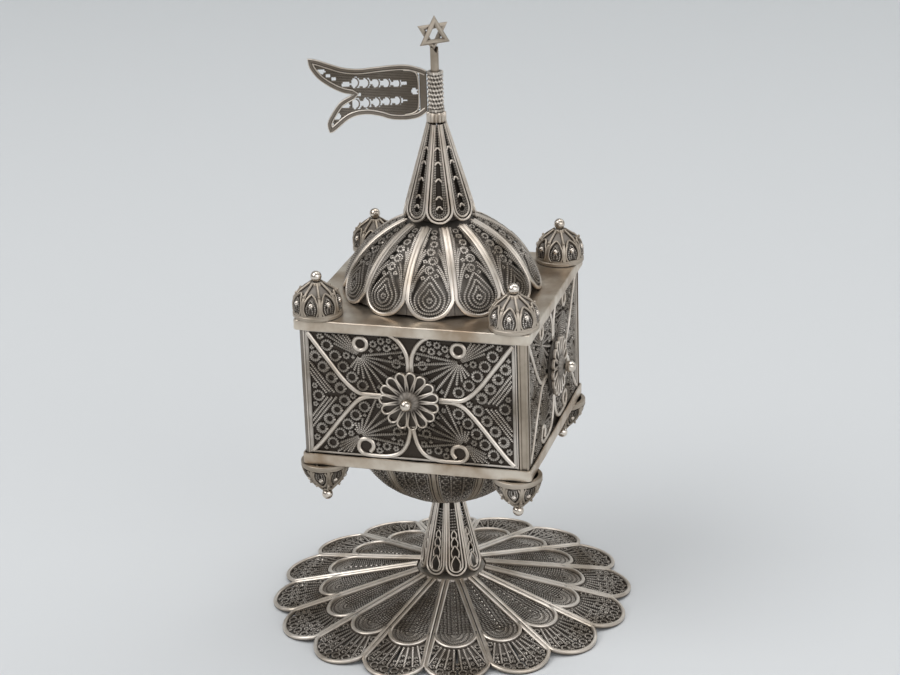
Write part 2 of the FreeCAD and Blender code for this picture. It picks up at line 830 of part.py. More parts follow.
def rosette_shape():
    """Daisy of looped petals on a low cone."""
    petals = int(N.rosette_petals)
    step = 360 / petals
    points = []
    for k in range(petals):
        middle = k * step
        points.append(polar_point(N.rosette_waist, middle - step / 2))
        points.append(polar_point(N.rosette_radius * LOOP_RADIUS, middle - step * LOOP_TURN))
        points.append(polar_point(N.rosette_radius, middle))
        points.append(polar_point(N.rosette_radius * LOOP_RADIUS, middle + step * LOOP_TURN))
    daisy = raised(flat_face(points), N.rosette_plate, N.rosette_lift)
    wide = N.rosette_waist + N.scroll_strip
    cone = ring_loft([
        [polar_point(radius, 360 * k / CONE_SIDES, z) for k in range(CONE_SIDES)]
        for radius, z in ((wide, 0), (N.rosette_ball, N.rosette_cone))])
    return daisy.fuse(cone)


def make_rosettes():
    """A rosette and its ball on each wall; on the door the ball is the pull."""
    pieces = []
    ball_rise = S.rosette_cone + S.rosette_ball * BALL_FLAT
    for side, turn in zip(SIDES, (0, 90, 180, 270)):
        shift = door_middle() if side == "front" else side_shift(side)
        middle = (SILL + LINTEL) / 2 if side == "front" else (FLOOR + CEILING) / 2
        for label, shape, rise in (
                (f"rosette_{side}", rosette_shape(), as_length(0)),
                (f"rosette_ball_{side}", faceted_ball(N.rosette_ball), ball_rise)):
            obj = solid_feature(label, shape)
            out = polar_point(float(S.wall_half + rise), turn - 90)
            along = polar_point(float(shift), turn)
            spot = out + along
            obj.Placement = Placement(Vector(spot.x, spot.y, 0), upright(turn))
            bind(obj, "Placement.Base.z", middle)
            pieces.append(obj)
    return pieces


def side_shift(side):
    """How far a fixed wall's middle lies from the box's middle, along the wall."""
    if side != "left":
        return as_length(0)
    return (S.wall_half - 2 * KNUCKLE_RADIUS - S.hinge_wall_gap - POST_INNER) / 2


# Waist and shoulder of a crown, and the foot and tip of its windows, above its band.
CROWN_WAIST = (0.96, 0.3)
CROWN_SHOULDER = (0.68, 0.68)
CROWN_WINDOW = (0.32, 0.66)


def crown_shape():
    """Small crown: a band, eight arched petals that lean in, and the cap that the ball sits on."""
    corners = int(N.leaf_count)
    rise = N.crown_height - N.crown_band
    waist, waist_z = N.crown_radius * CROWN_WAIST[0], N.crown_band + rise * CROWN_WAIST[1]
    shoulder, shoulder_z = N.crown_radius * CROWN_SHOULDER[0], N.crown_band + rise * CROWN_SHOULDER[1]
    outer = (
        (N.crown_radius, 0), (N.crown_radius, N.crown_band), (waist, waist_z),
        (shoulder, shoulder_z), (N.crown_cap, N.crown_height))
    wall = N.crown_wall
    inner = (
        (N.crown_radius - wall, 0), (waist - wall, waist_z), (shoulder - wall, shoulder_z - wall / 2),
        (N.crown_cap / 2, N.crown_height - wall * 1.5))
    solids = []
    for profile in (outer, inner):
        solids.append(ring_loft([[polar_point(radius, 360 * (k + 0.5) / corners, z)
                                  for k in range(corners)] for radius, z in profile]))
    half = N.crown_radius * math.tan(math.pi / corners) / 2
    sill, tip = (N.crown_band + rise * share for share in CROWN_WINDOW)
    window = flat_face([
        Vector(N.crown_cap, -half, sill), Vector(N.crown_cap, half, sill), Vector(N.crown_cap, 0, tip)])
    windows = turned_copies(window.extrude(Vector(N.crown_radius, 0, 0)), corners)
    return solids[0].cut(fused([solids[1]] + windows))


def make_crowns():
    """Crowns on the tray's corners, upright above and inverted below, each with its ball."""
    pieces = []
    upside_down = Rotation(Vector(1, 0, 0), 180)
    ball_rise = S.crown_height + S.crown_ball * BALL_FLAT
    corners = {"front_left": (-1, -1), "front_right": (1, -1), "back_right": (1, 1), "back_left": (-1, 1)}
    for corner, (across, along) in corners.items():
        x = S.crown_inset * across
        y = S.crown_inset * along
        for level, seat, sign, turn in (("upper", ROOF, 1, Rotation()), ("lower", LOWER_TRAY, -1, upside_down)):
            crown = solid_feature(f"{level}_crown_{corner}", crown_shape())
            place(crown, x=x, y=y, z=seat, rotation=about_z(N.crown_turn) * turn)
            ball = solid_feature(f"{level}_ball_{corner}", faceted_ball(N.crown_ball))
            place(ball, x=x, y=y, z=seat + ball_rise * sign)
            pieces += [crown, ball]
    return pieces


def make_collar():
    """Ribbed collar: a star-shaped outline, padded."""
    ribs = int(N.collar_ribs)
    corners = []
    for k in range(2 * ribs):
        turn = math.radians(180 * k / ribs)
        radius = S.collar_radius - (S.collar_rib_depth if k % 2 else 0)
        corners.append((radius * round(math.cos(turn), 9), radius * round(math.sin(turn), 9)))
    body = padded_body("spire_collar", "XY_Plane", [corners], S.collar_height)
    place(body, z=COLLAR_FOOT)
    return body


def star_prism(label, circumradius, points_up, offset, thickness):
    """Three-cornered prism that stands in the star's plane, on the rod's line."""
    prism = named("Part::Prism", label)
    prism.Polygon = 3
    bind(prism, "Circumradius", circumradius)
    bind(prism, "Height", thickness)
    turn = math.radians(N.star_turn)
    normal = Vector(math.sin(turn), -math.cos(turn), 0)
    tip = Vector(0, 0, 1 if points_up else -1)
    rotation = Rotation(tip, normal.cross(tip), normal, "ZXY")
    place(prism, x=offset * normal.x, y=offset * normal.y, z=star_centre(), rotation=rotation)
    return prism


def star_centre():
    """Height of the star's middle: its lower tip stands in the fork of the rod."""
    return ROD_TOP - S.fork_depth + S.star_side / 3 ** 0.5


def star_triangle(label, points_up, offset):
    """One triangle of flat wire."""
    outer = S.star_side / 3 ** 0.5
    inner = outer - 2 * S.star_strip
    solid = star_prism(f"{label}_outline", outer, points_up, offset, S.star_plate)
    hole = star_prism(f"{label}_opening", inner, points_up, offset, S.star_plate)
    return cut_from(label, solid, hole)


def make_rod_and_star():
    """Rod with a forked end, and the star of two stacked triangles."""
    bar = cylinder("rod_bar", S.rod_radius, S.rod_length)
    place(bar, z=ROD_FOOT)
    wide = 4 * S.rod_radius
    notch = star_prism("rod_fork_cut", S.star_side / 3 ** 0.5, False, -wide / 2, wide)
    rod = cut_from("spire_rod", bar, notch)
    back = star_triangle("star_back", False, -S.star_plate / 2)
    front = star_triangle("star_front", True, S.star_plate / 2)
    return [rod, back, front]


def make_sleeve():
    """Sleeve of the vane, which turns on the rod."""
    bore = S.rod_radius + S.sleeve_bore_gap
    outer = cylinder("sleeve_outside", bore + S.sleeve_wall, S.sleeve_length)
    inner = cylinder("sleeve_bore", bore, S.sleeve_length)
    place(outer, z=SLEEVE_FOOT)
    place(inner, z=SLEEVE_FOOT)
    return cut_from("vane_sleeve", outer, inner)


def smooth_line(points):
    """Points along a smooth curve through a few given ones, without the last."""
    curve = Part.BSplineCurve()
    curve.interpolate([Vector(x, y, 0) for x, y in points])
    return curve.discretize(Number=6)[:-1]


# The flag's four edges, each through a few points: share of its length from the sleeve,
# and height above the root's middle as a share of the root.
FLAG_EDGES = (
    ((0, 0.5), (0.16, 0.59), (0.58, 0.51), (1, 0.81)),
    ((1, 0.81), (0.84, 0.1), (0.59, 0)),
    ((0.59, 0), (0.76, -0.26), (0.84, -0.92)),
    ((0.84, -0.92), (0.67, -0.52), (0.2, -0.64), (0, -0.5)),
)
FLAG_LOOPS = 4
FLAG_LOOPED = 0.56
FLAG_ROWS = (-0.26, 0.24)
FLAG_LOOP_RADIUS = 0.13


def make_flag():
    """Swallow-tailed flag: a frame of flat wire round a pierced sheet, on the sleeve."""
    root = N.rod_radius + N.sleeve_bore_gap + N.sleeve_wall
    outline = []
    for edge in FLAG_EDGES:
        outline += smooth_line([(root + N.flag_length * along, N.flag_root * up) for along, up in edge])
    plate = raised(flat_face(outline), N.flag_plate)
    loops = []
    pitch = N.flag_length * FLAG_LOOPED / FLAG_LOOPS
    for k in range(FLAG_LOOPS):
        x = root + N.flag_edge * 2 + pitch * (k + 0.5)
        for row in FLAG_ROWS:
            circle = arc_points((x, row * N.flag_root), N.flag_root * FLAG_LOOP_RADIUS, 0, 360, 6)
            loops.append(flat_face(circle[:-1]))
    pierced = plate.cut(raised(fused(loops), N.flag_plate))
    flag = solid_feature("vane_flag", pierced)
    turn = N.vane_turn
    side = polar_point(N.flag_plate / 2, turn + 90)
    middle = SLEEVE_FOOT + S.sleeve_length / 2
    flag.Placement = Placement(Vector(side.x, side.y, 0), upright(turn))
    bind(flag, "Placement.Base.z", middle)
    return flag


def make_all():
    """Every piece of the tower, from the foot up."""
    pieces = [make_foot(), make_stem(), make_bowl()]
    pieces += make_trays() + make_posts() + make_walls() + make_door()
    pieces += make_rosettes() + make_crowns()
    pieces += [make_dome(), make_spire(), make_collar()]
    pieces += make_rod_and_star() + [make_sleeve(), make_flag()]
    return pieces


def check_and_write(pieces):
    """Stops on any failed object or bad shape, then writes one file for each piece."""
    DOC.recompute()
    for obj in DOC.Objects:
        if "Invalid" in obj.State or "Error" in obj.State:
            raise RuntimeError(f"{obj.Label} failed: {obj.State}")
    for obj in pieces:
        if obj.Shape.isNull() or not obj.Shape.isValid():
            raise RuntimeError(f"{obj.Label} has no valid shape")
    os.makedirs("parts", exist_ok=True)
    for obj in pieces:
        obj.Shape.exportStep(f"parts/{obj.Label}.step")


check_and_write(make_all())
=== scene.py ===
import bpy
import numpy as np
from bpy.props import FloatProperty, FloatVectorProperty, IntProperty, PointerProperty
from mathutils import Matrix


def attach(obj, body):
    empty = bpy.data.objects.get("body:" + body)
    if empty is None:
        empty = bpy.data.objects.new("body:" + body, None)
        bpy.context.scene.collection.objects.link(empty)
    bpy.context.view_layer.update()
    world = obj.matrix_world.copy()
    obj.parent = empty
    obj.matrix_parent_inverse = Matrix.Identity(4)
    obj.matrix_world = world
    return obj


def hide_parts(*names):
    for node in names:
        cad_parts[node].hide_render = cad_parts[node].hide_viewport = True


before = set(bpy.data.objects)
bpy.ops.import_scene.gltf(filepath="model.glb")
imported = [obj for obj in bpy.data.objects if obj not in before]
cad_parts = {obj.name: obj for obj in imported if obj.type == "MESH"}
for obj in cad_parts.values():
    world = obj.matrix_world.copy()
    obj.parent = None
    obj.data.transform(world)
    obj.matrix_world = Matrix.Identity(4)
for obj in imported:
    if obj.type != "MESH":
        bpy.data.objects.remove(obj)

bl_info = {
    "name": "Silver filigree spice tower",
    "version": (1, 0, 0),
    "blender": (4, 5, 0),
    "location": "3D View > Sidebar > Spice tower",
    "description": "Twisted wire, flat wire, plates, finishes and stage of a filigree spice tower",
    "category": "Object",
}

MM = 0.001
# Which way each corner lies from the middle, and how far each wall is turned from the front, in degrees.
CORNERS = {"front_left": (-1, -1), "front_right": (1, -1), "back_right": (1, 1), "back_left": (-1, 1)}
SIDES = {"front": 0, "right": 90, "back": 180, "left": 270}
# Directions round the axis, in degrees: a notch of the foot, an arch of the crowns, and the star's face.
FOOT_TURN, CROWN_TURN, STAR_TURN = 5.6, -88, 43
LEAVES, CROWN_ARCHES, ROSETTE_LOOPS = 8, 8, 15
# Edges that bend by more degrees than this are shown sharp.
SHARP_ANGLE = 38


def length(name, description, size):
    """A length property, given in millimetres."""
    return FloatProperty(name=name, description=description, default=size * MM, unit="LENGTH", precision=5)


def colour(name, description, code):
    """A colour property from an sRGB hex code, held as the linear values that shaders take."""
    return FloatVectorProperty(name=name, description=description, default=linear(code), size=3, subtype="COLOR")


def linear(code):
    """Linear red, green and blue of an sRGB hex code."""
    parts = np.array([int(code[k:k + 2], 16) for k in (1, 3, 5)]) / 255
    return tuple(np.where(parts <= 0.04045, parts / 12.92, ((parts + 0.055) / 1.055) ** 2.4))


class SpiceWires(bpy.types.PropertyGroup):
    """Sizes of the wires that the filigree is made of."""
    twist_wide: length("Twisted wire", "Width of the twisted pair of wires", 0.88)
    twist_thin: length("Twisted wire, thin", "Thickness of the twisted pair of wires", 0.6)
    twist_step: length("Twist step", "Length over which the pair turns by a quarter", 0.26)
    ring_radius: length("Small ring", "Outer radius of the twisted rings on the walls", 1.58)
    strip_wide: length("Scroll strip", "Width of the polished flat wire of the walls", 1.02)
    strip_thick: length("Strip thickness", "How far flat wire stands off the filigree", 0.9)
    foot_strip: length("Foot strip", "Width of one flat wire of the foot's frames", 0.95)
    leaf_strip: length("Leaf strip", "Width of the flat wire that frames the leaning leaves", 0.5)


class SpiceTower(bpy.types.PropertyGroup):
    """Levels, radii and counts of the tower."""
    foot_lobes: IntProperty(name="Foot lobes", description="Petals of the foot", default=16)
    foot_radius: length("Foot radius", "Reach of the foot's lobes", 45.85)
    foot_notch: length("Notch radius", "Where two lobes of the foot meet", 41.2)
    foot_petal: length("Petal reach", "Reach of the foot's inner petals", 34.2)
    foot_hub: length("Hub radius", "Where the foot meets the stem", 8.4)
    foot_rise: length("Foot rise", "Height of the foot's hub", 9.1)
    foot_rim: length("Foot rim", "Height of the foot's edge", 1.2)
    stem_foot: length("Stem foot level", "Height where the stem starts", 9.1)
    stem_height: length("Stem height", "Height of the stem's leaves", 19.6)
    bowl_level: length("Bowl rim level", "Height of the bowl's rim, below the lower tray", 47.1)
    bowl_radius: length("Bowl radius", "Radius of the bowl's rim", 23.6)
    bowl_depth: length("Bowl depth", "Depth of the bowl", 18.4)
    wall_half: length("Wall plane", "Distance of the walls' outer faces from the middle", 27.85)
    wall_level: length("Door middle level", "Height of the door's middle", 66.05)
    wall_high: length("Door half height", "Half of the height seen between the trays' rims", 15.9)
    roof_level: length("Roof level", "Height of the upper tray's top", 84.7)
    crown_inset: length("Crown place", "Distance of the crowns from the middle, each way", 24.06)
    crown_height: length("Crown height", "Height of a crown without its ball", 8.2)
    crown_ball: length("Crown ball", "Radius of a crown's ball", 1.35)
    dome_lobes: IntProperty(name="Dome lobes", description="Lobes of dome and bowl", default=12)
    dome_radius: length("Dome radius", "Radius of the dome at its lobes", 24.4)
    dome_height: length("Dome height", "Height of the dome", 19.9)
    dome_turn: FloatProperty(name="Dome turn", description="Direction of the first notch, in degrees", default=23.3)
    spire_level: length("Spire level", "Height where the spire's leaves start", 103.22)
    spire_height: length("Spire height", "Height of the spire's leaves", 23.0)
    collar_level: length("Collar level", "Height where the collar starts", 126.46)
    collar_height: length("Collar height", "Height of the collar", 2.5)
    rod_top: length("Rod top", "Height of the rod's forked end", 144.56)
    star_side: length("Star side", "Side of each triangle of the star", 7.8)
    star_strip: length("Star wire", "Width of the star's wire", 1.1)
    sleeve_foot: length("Sleeve level", "Height where the vane's sleeve starts", 129.11)
    sleeve_height: length("Sleeve height", "Length of the vane's sleeve", 9.7)
    vane_turn: FloatProperty(name="Vane turn", description="Direction of the vane's flag, in degrees", default=195.9)
    rosette_radius: length("Rosette radius", "Reach of the rosettes' loops", 7.5)
    rosette_ball: length("Rosette ball", "Radius of the balls on the rosettes", 1.45)


class SpiceFinish(bpy.types.PropertyGroup):
    """Colours of the silver and of the stage, and the camera's lens."""
    bright: colour("Rubbed silver", "Where hands and cloth keep the silver bright", "#eee5da")
    warm: colour("Warm tarnish", "First warm tarnish on the flat wire", "#bfb2a2")
    worn: colour("Worn silver", "Duller silver of crowns, bowl bars, flag and star", "#c6bbad")
    wire: colour("Filigree silver", "Silver of the twisted wire", "#f2eae0")
    dull: colour("Dull tarnish", "Grey-brown tarnish on wire that cloth doesn't reach", "#958979")
    # The next colour is painted shade with tarnish: it fills the hollows and the undersides of the wire.
    recess: colour("Dark tarnish", "Tarnish in the hollows between wires", "#33291f")
    plate: colour("Tray silver", "Silver of the trays", "#e4dacb")
    patch: colour("Tray tarnish", "Brown patches on the trays", "#a8927a")
    floor: colour("Floor", "Pale floor", "#d5d7d8")
    # The backdrop colour is darker than the floor: painted shade where the floor rises.
    backdrop: colour("Backdrop", "The floor where it rises behind", "#babdbe")
    lens: FloatProperty(name="Lens", description="Focal length of the camera, in millimetres", default=96.3)


def sizes(group):
    """The group's lengths in millimetres, and its other values as they are."""
    properties = getattr(bpy.context.scene, group)
    read = {}
    for key in properties.__annotations__:
        value = getattr(properties, key)
        is_length = properties.bl_rna.properties[key].unit == "LENGTH"
        read[key] = value / MM if is_length else value
    return type("Sizes", (), read)


def even(line, step):
    """The same line with points evenly spaced, about one step apart."""
    line = np.asarray(line, float)
    run = np.r_[0, np.cumsum(np.linalg.norm(np.diff(line, axis=0), axis=1))]
    marks = np.linspace(0, run[-1], max(2, int(round(run[-1] / step)) + 1))
    return np.column_stack([np.interp(marks, run, line[:, k]) for k in range(line.shape[1])])


def smooth(points, step=0.3, closed=False):
    """Curve through the points, by the Catmull-Rom formula, with points one step apart."""
    p = np.asarray(points, float)
    if closed:
        ends = np.vstack([p[-1], p, p[0], p[1]])
    else:
        ends = np.vstack([2 * p[0] - p[1], p, 2 * p[-1] - p[-2]])
    t = np.linspace(0, 1, 12, endpoint=False)[None, :, None]
    a, b, c, d = ends[:-3, None], ends[1:-2, None], ends[2:-1, None], ends[3:, None]
    fine = (2 * b + (c - a) * t + (2 * a - 5 * b + 4 * c - d) * t ** 2 + (3 * b - a - 3 * c + d) * t ** 3) / 2
    fine = fine.reshape(-1, p.shape[1])
    return even(np.vstack([fine, p[0] if closed else p[-1]]), step)


def circle(centre, radius, step=0.3, start=0.0, turn=360.0):
    """Arc round a centre, from the start angle through the turn."""
    count = max(8, int(round(abs(np.radians(turn)) * radius / step)))
    angles = np.radians(start + np.linspace(0, turn, count + 1))
    return np.column_stack([centre[0] + radius * np.cos(angles), centre[1] + radius * np.sin(angles)])


def inside(points, outline):
    """Which points lie in a closed outline: a ray from each crosses it an odd number of times."""
    x, y = points[:, 0, None], points[:, 1, None]
    a, b = np.asarray(outline, float), np.roll(np.asarray(outline, float), -1, axis=0)
    crosses = (a[:, 1] > y) != (b[:, 1] > y)
    rise = np.where(b[:, 1] == a[:, 1], 1e-9, b[:, 1] - a[:, 1])
    at = a[:, 0] + (y - a[:, 1]) * (b[:, 0] - a[:, 0]) / rise
    return (crosses & (x < at)).sum(axis=1) % 2 == 1


def clipped(lines, outline, least=0.9, holes=()):
    """The runs of the lines that lie in an outline and outside the holes, none shorter than the least length.

    A hole is an ellipse: its centre and its two radii.
    """
    runs = []
    for line in lines:
        keep = inside(line, outline)
        for u, v, wide, high in holes:
            keep &= ((line[:, 0] - u) / wide) ** 2 + ((line[:, 1] - v) / high) ** 2 > 1
        parts = np.split(line, np.flatnonzero(np.diff(keep.astype(int))) + 1)
        kept = parts[0 if keep[0] else 1::2]
        runs += [part for part in kept if len(part) > 2 and np.abs(np.diff(part, axis=0)).sum() > least]
    return runs


def beside(line, gap):
    """The line moved sideways, to its left for a positive gap."""
    along = np.gradient(line, axis=0)
    along /= np.linalg.norm(along, axis=1, keepdims=True) + 1e-9
    return line + gap * np.column_stack([-along[:, 1], along[:, 0]])


def row(line, gap, radius, start=0.0, stop=1.0):
    """Centres of equal rings that touch in a row beside a line, between two shares of its length."""
    path = even(beside(even(line, 0.3), gap), 0.1)
    run = np.r_[0, np.cumsum(np.linalg.norm(np.diff(path, axis=0), axis=1))]
    marks = np.arange(start * run[-1] + radius, stop * run[-1], 2 * radius + 0.1)
    return np.column_stack([np.interp(marks, run, path[:, k]) for k in (0, 1)])


def apart(spots, radius):
    """The spots without those whose ring would overlap an earlier one."""
    kept = []
    for spot in spots:
        if all(np.hypot(*(spot - other)) > 2 * radius - 0.25 for other in kept):
            kept.append(spot)
    return np.array(kept)


def until(ray, spots, radius):
    """The ray as far as the first ring in its way."""
    hits = (np.hypot(ray[:, :1] - spots[:, 0], ray[:, 1:] - spots[:, 1]) < radius).any(axis=1)
    return ray[:np.argmax(hits)] if hits.any() else ray


def packed(region, taken, largest, smallest, pitch=0.28):
    """Circles packed into an outline, clear of the lines taken: centres and outer radii.

    While the largest size fits, the next one hugs what is there already; after that the widest gap is filled first.
    """
    region = np.asarray(region, float)
    low, high = region.min(axis=0), region.max(axis=0)
    spots = np.stack(np.meshgrid(*(np.arange(a, b, pitch) for a, b in zip(low, high))), axis=-1).reshape(-1, 2)
    spots = spots[inside(spots, region)]
    edges = np.vstack([even(np.vstack([region, region[:1]]), pitch), *taken])
    room = np.full(len(spots), np.inf)
    for part in np.array_split(edges, 1 + len(edges) // 300):
        room = np.minimum(room, np.hypot(spots[:, :1] - part[:, 0], spots[:, 1:] - part[:, 1]).min(axis=1))
    found = []
    while room.max() > smallest:
        fits = room >= largest
        pick = np.argmin(np.where(fits, room, np.inf)) if fits.any() else np.argmax(room)
        radius = min(room[pick], largest)
        found.append((spots[pick].copy(), radius))
        room = np.minimum(room, np.hypot(*(spots - spots[pick]).T) - radius)
    return found


def coiled(found, wire, step):
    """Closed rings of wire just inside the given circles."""
    return [circle(centre, radius - wire / 2, step) for centre, radius in found]


def across_u(lines):
    """The lines and their mirror images across the upright axis."""
    return lines + [line * (-1, 1) for line in lines]


def arched(half, middle):
    """Points of a line that is alike on both sides of the upright axis: one half, the middle, the half mirrored."""
    half = np.asarray(half, float)
    return np.vstack([half, middle, half[::-1] * (-1, 1)])


def both_edges(lines, gap):
    """Each line moved to either side by the gap."""
    return [beside(line, side * gap) for line in lines for side in (-1, 1)]


def heading(degrees):
    """Unit vector at an angle in the plane."""
    return np.array((np.cos(np.radians(degrees)), np.sin(np.radians(degrees))))


class Layout:
    """Wires drawn flat before they are lifted onto their surface: each has a line, a section and a rise."""

    def __init__(self):
        self.wires = []

    def flat(self, lines, wide, thick, rise=0.0, closed=False):
        """Flat wire: a rectangle with its two outer edges softened."""
        edge = min(wide, thick) * 0.25
        half, low = wide / 2, thick - edge
        section = np.array([
            (-half, 0), (-half, low), (edge - half, thick), (half - edge, thick), (half, low), (half, 0)])
        self.add(lines, section, rise, 0.0, closed)

    def twisted(self, lines, wide, thin, rise=0.0, closed=False, turn=90.0):
        """Twisted pair: a flat rhombus that turns by a quarter of a circle, or by less, at each point of the line."""
        section = np.array([(wide / 2, 0), (0, thin / 2), (-wide / 2, 0), (0, -thin / 2)])
        self.add(lines, section, rise + wide / 2, turn, closed)

    def add(self, lines, section, rise, turn, closed):
        self.wires += [(np.asarray(line, float), section, rise, turn, closed) for line in lines]

    def mesh(self, lift):
        """Sweeps every wire's section along its line on the surface, and joins them to one mesh.

        At each point the section is set across the wire and along the surface's outward normal;
        lift gives both the surface's points and its normals for points of the layout. Each point carries a share of
        painted light: low on the wire's underside and high on its top, as painted shade and light. Where a twisted
        pair shows its narrow side, it carries little, so the pair reads as a string of beads in painted highlight and
        shade.
        """
        vertices, faces, shares, count = [], [], [], 0
        for line, section, rise, turn, closed in self.wires:
            if closed:
                line = line[:-1]
            middle, normal = lift(line)
            if closed:
                ahead = np.roll(middle, -1, axis=0) - np.roll(middle, 1, axis=0)
            else:
                ahead = np.gradient(middle, axis=0)
            ahead /= np.linalg.norm(ahead, axis=1, keepdims=True) + 1e-9
            side = np.cross(ahead, normal)
            side /= np.linalg.norm(side, axis=1, keepdims=True) + 1e-9
            up = np.cross(side, ahead)
            angle = np.radians(turn * np.arange(len(line)))[:, None]
            out = section[:, 0] * np.cos(angle) - section[:, 1] * np.sin(angle)
            high = section[:, 0] * np.sin(angle) + section[:, 1] * np.cos(angle) + rise
            swept = middle[:, None] + side[:, None] * out[..., None] + up[:, None] * high[..., None]
            vertices.append(swept.reshape(-1, 3))
            # Share of painted light: from painted shade on the section's low side to painted light on its top.
            low, deep = section[:, 1].min(), np.ptp(section[:, 1])
            if turn:
                low, deep = -section[:, 0].max(), 2 * section[:, 0].max()
            # Painted highlight and shade: every other point of a twisted pair gets little light, so it reads as beads.
            bead = np.where(np.arange(len(line)) % 2, 0.16, 1.0)[:, None] if turn else 1.0
            shares.append(((high - rise - low) / deep * bead).ravel())
            faces.append(count + ring_faces(len(line), len(section), closed))
            count += len(line) * len(section)
        return np.vstack(vertices), np.vstack(faces), np.concatenate(shares)


def ring_faces(rings, corners, closed):
    """Four-cornered faces between each ring of a sweep and the next, with folded caps on open ends."""
    steps = rings if closed else rings - 1
    ring = np.arange(steps)[:, None]
    corner = np.arange(corners)[None, :]
    a = ring * corners + corner
    b = ring * corners + (corner + 1) % corners
    c = (ring + 1) % rings * corners + (corner + 1) % corners
    d = (ring + 1) % rings * corners + corner
    sides = np.stack([a, d, c, b], axis=-1).reshape(-1, 4)
    if closed:
        return sides
    caps = []
    for start, step in ((0, 1), ((rings - 1) * corners, -1)):
        for k in range(1, corners - 2, 2):
            cap = start + np.array([0, k, k + 1, k + 2])
            caps.append(cap[::step])
    return np.vstack([sides, caps])


def grid_mesh(points, wrap_across=True, wrap_along=False):
    """Mesh of a grid of points (along, across, xyz)."""
    along, across = points.shape[:2]
    i = np.arange(along if wrap_along else along - 1)[:, None]
    j = np.arange(across if wrap_across else across - 1)[None, :]
    a = i * across + j
    b = i * across + (j + 1) % across
    c = (i + 1) % along * across + (j + 1) % across
    d = (i + 1) % along * across + j
    return points.reshape(-1, 3), np.stack([a, b, c, d], axis=-1).reshape(-1, 4), np.ones(along * across)


def turned_profile(radii, heights, corners=48, ribs=0, depth=0.0, twist=0.0):
    """Surface of revolution; ribs may wave each radius by the cosine of their count times the angle, and wind up it."""
    angle = np.linspace(0, 2 * np.pi, corners, endpoint=False)[None, :]
    radii, heights = np.asarray(radii, float)[:, None], np.asarray(heights, float)[:, None]
    wave = depth * (np.cos(ribs * angle + np.radians(twist) * heights) - 1) / 2 if ribs else 0
    radius = radii + wave * (radii > 0.01)
    spread_heights = heights + 0 * angle
    return grid_mesh(np.stack([radius * np.cos(angle), radius * np.sin(angle), spread_heights], axis=-1))


def ball_mesh(radius, rows=14, corners=24):
    """Sphere, as a turned half circle."""
    tilt = np.linspace(-np.pi / 2, np.pi / 2, rows + 1)
    return turned_profile(np.maximum(radius * np.cos(tilt), 0.01), radius * np.sin(tilt), corners)


def moved(mesh, spot=(0, 0, 0), about_z=0.0, flip=False):
    """The mesh turned about the upright axis, or first turned upside down, then moved."""
    points, faces, shares = mesh
    if flip:
        points = points * (1, -1, -1)
    return points @ rotation(about_z).T + np.asarray(spot, float), faces, shares


def rotation(degrees):
    """Turn about the upright axis as a matrix."""
    c, s = np.cos(np.radians(degrees)), np.sin(np.radians(degrees))
    return np.array([(c, -s, 0), (s, c, 0), (0, 0, 1)])


def joined(meshes):
    """Several meshes as one."""
    counts = np.cumsum([0] + [len(mesh[0]) for mesh in meshes[:-1]])
    faces = [mesh[1] + count for mesh, count in zip(meshes, counts)]
    return np.vstack([mesh[0] for mesh in meshes]), np.vstack(faces), np.concatenate([mesh[2] for mesh in meshes])


def shaded(mesh, share):
    """The mesh with one even share of painted light and polish; a low share paints it dark as shade."""
    return mesh[0], mesh[1], np.full(len(mesh[0]), float(share))


def dulled(mesh, share):
    """The mesh with its share of painted light and polish scaled by the given share, so it is darker."""
    return mesh[0], mesh[1], mesh[2] * share


def around(mesh, count, start=0.0):
    """Copies of the mesh evenly round the upright axis."""
    return joined([moved(mesh, about_z=start + 360 * k / count) for k in range(count)])


def piece(name, mesh, look, body="box", nodes=()):
    """One object from a mesh in millimetres, at the origin, in a finish, riding on its body, in place of its nodes."""
    points, faces, shares = mesh
    data = bpy.data.meshes.new(name)
    data.vertices.add(len(points))
    data.vertices.foreach_set("co", (points * MM).astype(np.float32).ravel())
    data.loops.add(faces.size)
    data.loops.foreach_set("vertex_index", faces.astype(np.int32).ravel())
    data.polygons.add(len(faces))
    data.polygons.foreach_set("loop_start", np.arange(0, faces.size, 4, dtype=np.int32))
    data.polygons.foreach_set("use_smooth", np.ones(len(faces), bool))
    data.update(calc_edges=True)
    data.attributes.new("polish", "FLOAT", "POINT").data.foreach_set("value", shares.astype(np.float32))
    if data.validate():
        data.update()
    data.materials.append(finish(look))
    data.set_sharp_from_angle(angle=np.radians(SHARP_ANGLE))
    made = added(name, data)
    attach(made, body)
    for node in nodes:
        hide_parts(node)


def plane_lift(centre, across, along, out):
    """Lift of a flat panel: centre plus u times across plus v times along."""
    centre, across, along, out = (np.asarray(part, float) for part in (centre, across, along, out))

    def lift(line):
        points = centre + line[:, :1] * across + line[:, 1:2] * along
        return points, np.broadcast_to(out, points.shape)
    return lift


def curved_lift(surface):
    """Lift onto any surface: its normal is the cross product of two small steps on it."""
    def lift(line):
        points = surface(line)
        step = 0.02
        east = surface(line + (step, 0)) - surface(line - (step, 0))
        north = surface(line + (0, step)) - surface(line - (0, step))
        normal = np.cross(east, north)
        return points, normal / (np.linalg.norm(normal, axis=1, keepdims=True) + 1e-12)
    return lift


def add_node(tree, kind, sockets=None, **settings):
    """A shader node with its settings and input values or links."""
    node = tree.nodes.new("ShaderNode" + kind)
    for key, value in settings.items():
        setattr(node, key, value)
    for key, value in (sockets or {}).items():
        if isinstance(value, bpy.types.NodeSocket):
            tree.links.new(value, node.inputs[key])
        else:
            node.inputs[key].default_value = value
    return node


def ranged(tree, value, low, high, at_low=0.0, at_high=1.0):
    """The value mapped from one range to another, and held at the ends of the second."""
    return add_node(tree, "MapRange", {
        "Value": value, "From Min": low, "From Max": high, "To Min": at_low, "To Max": at_high}).outputs[0]


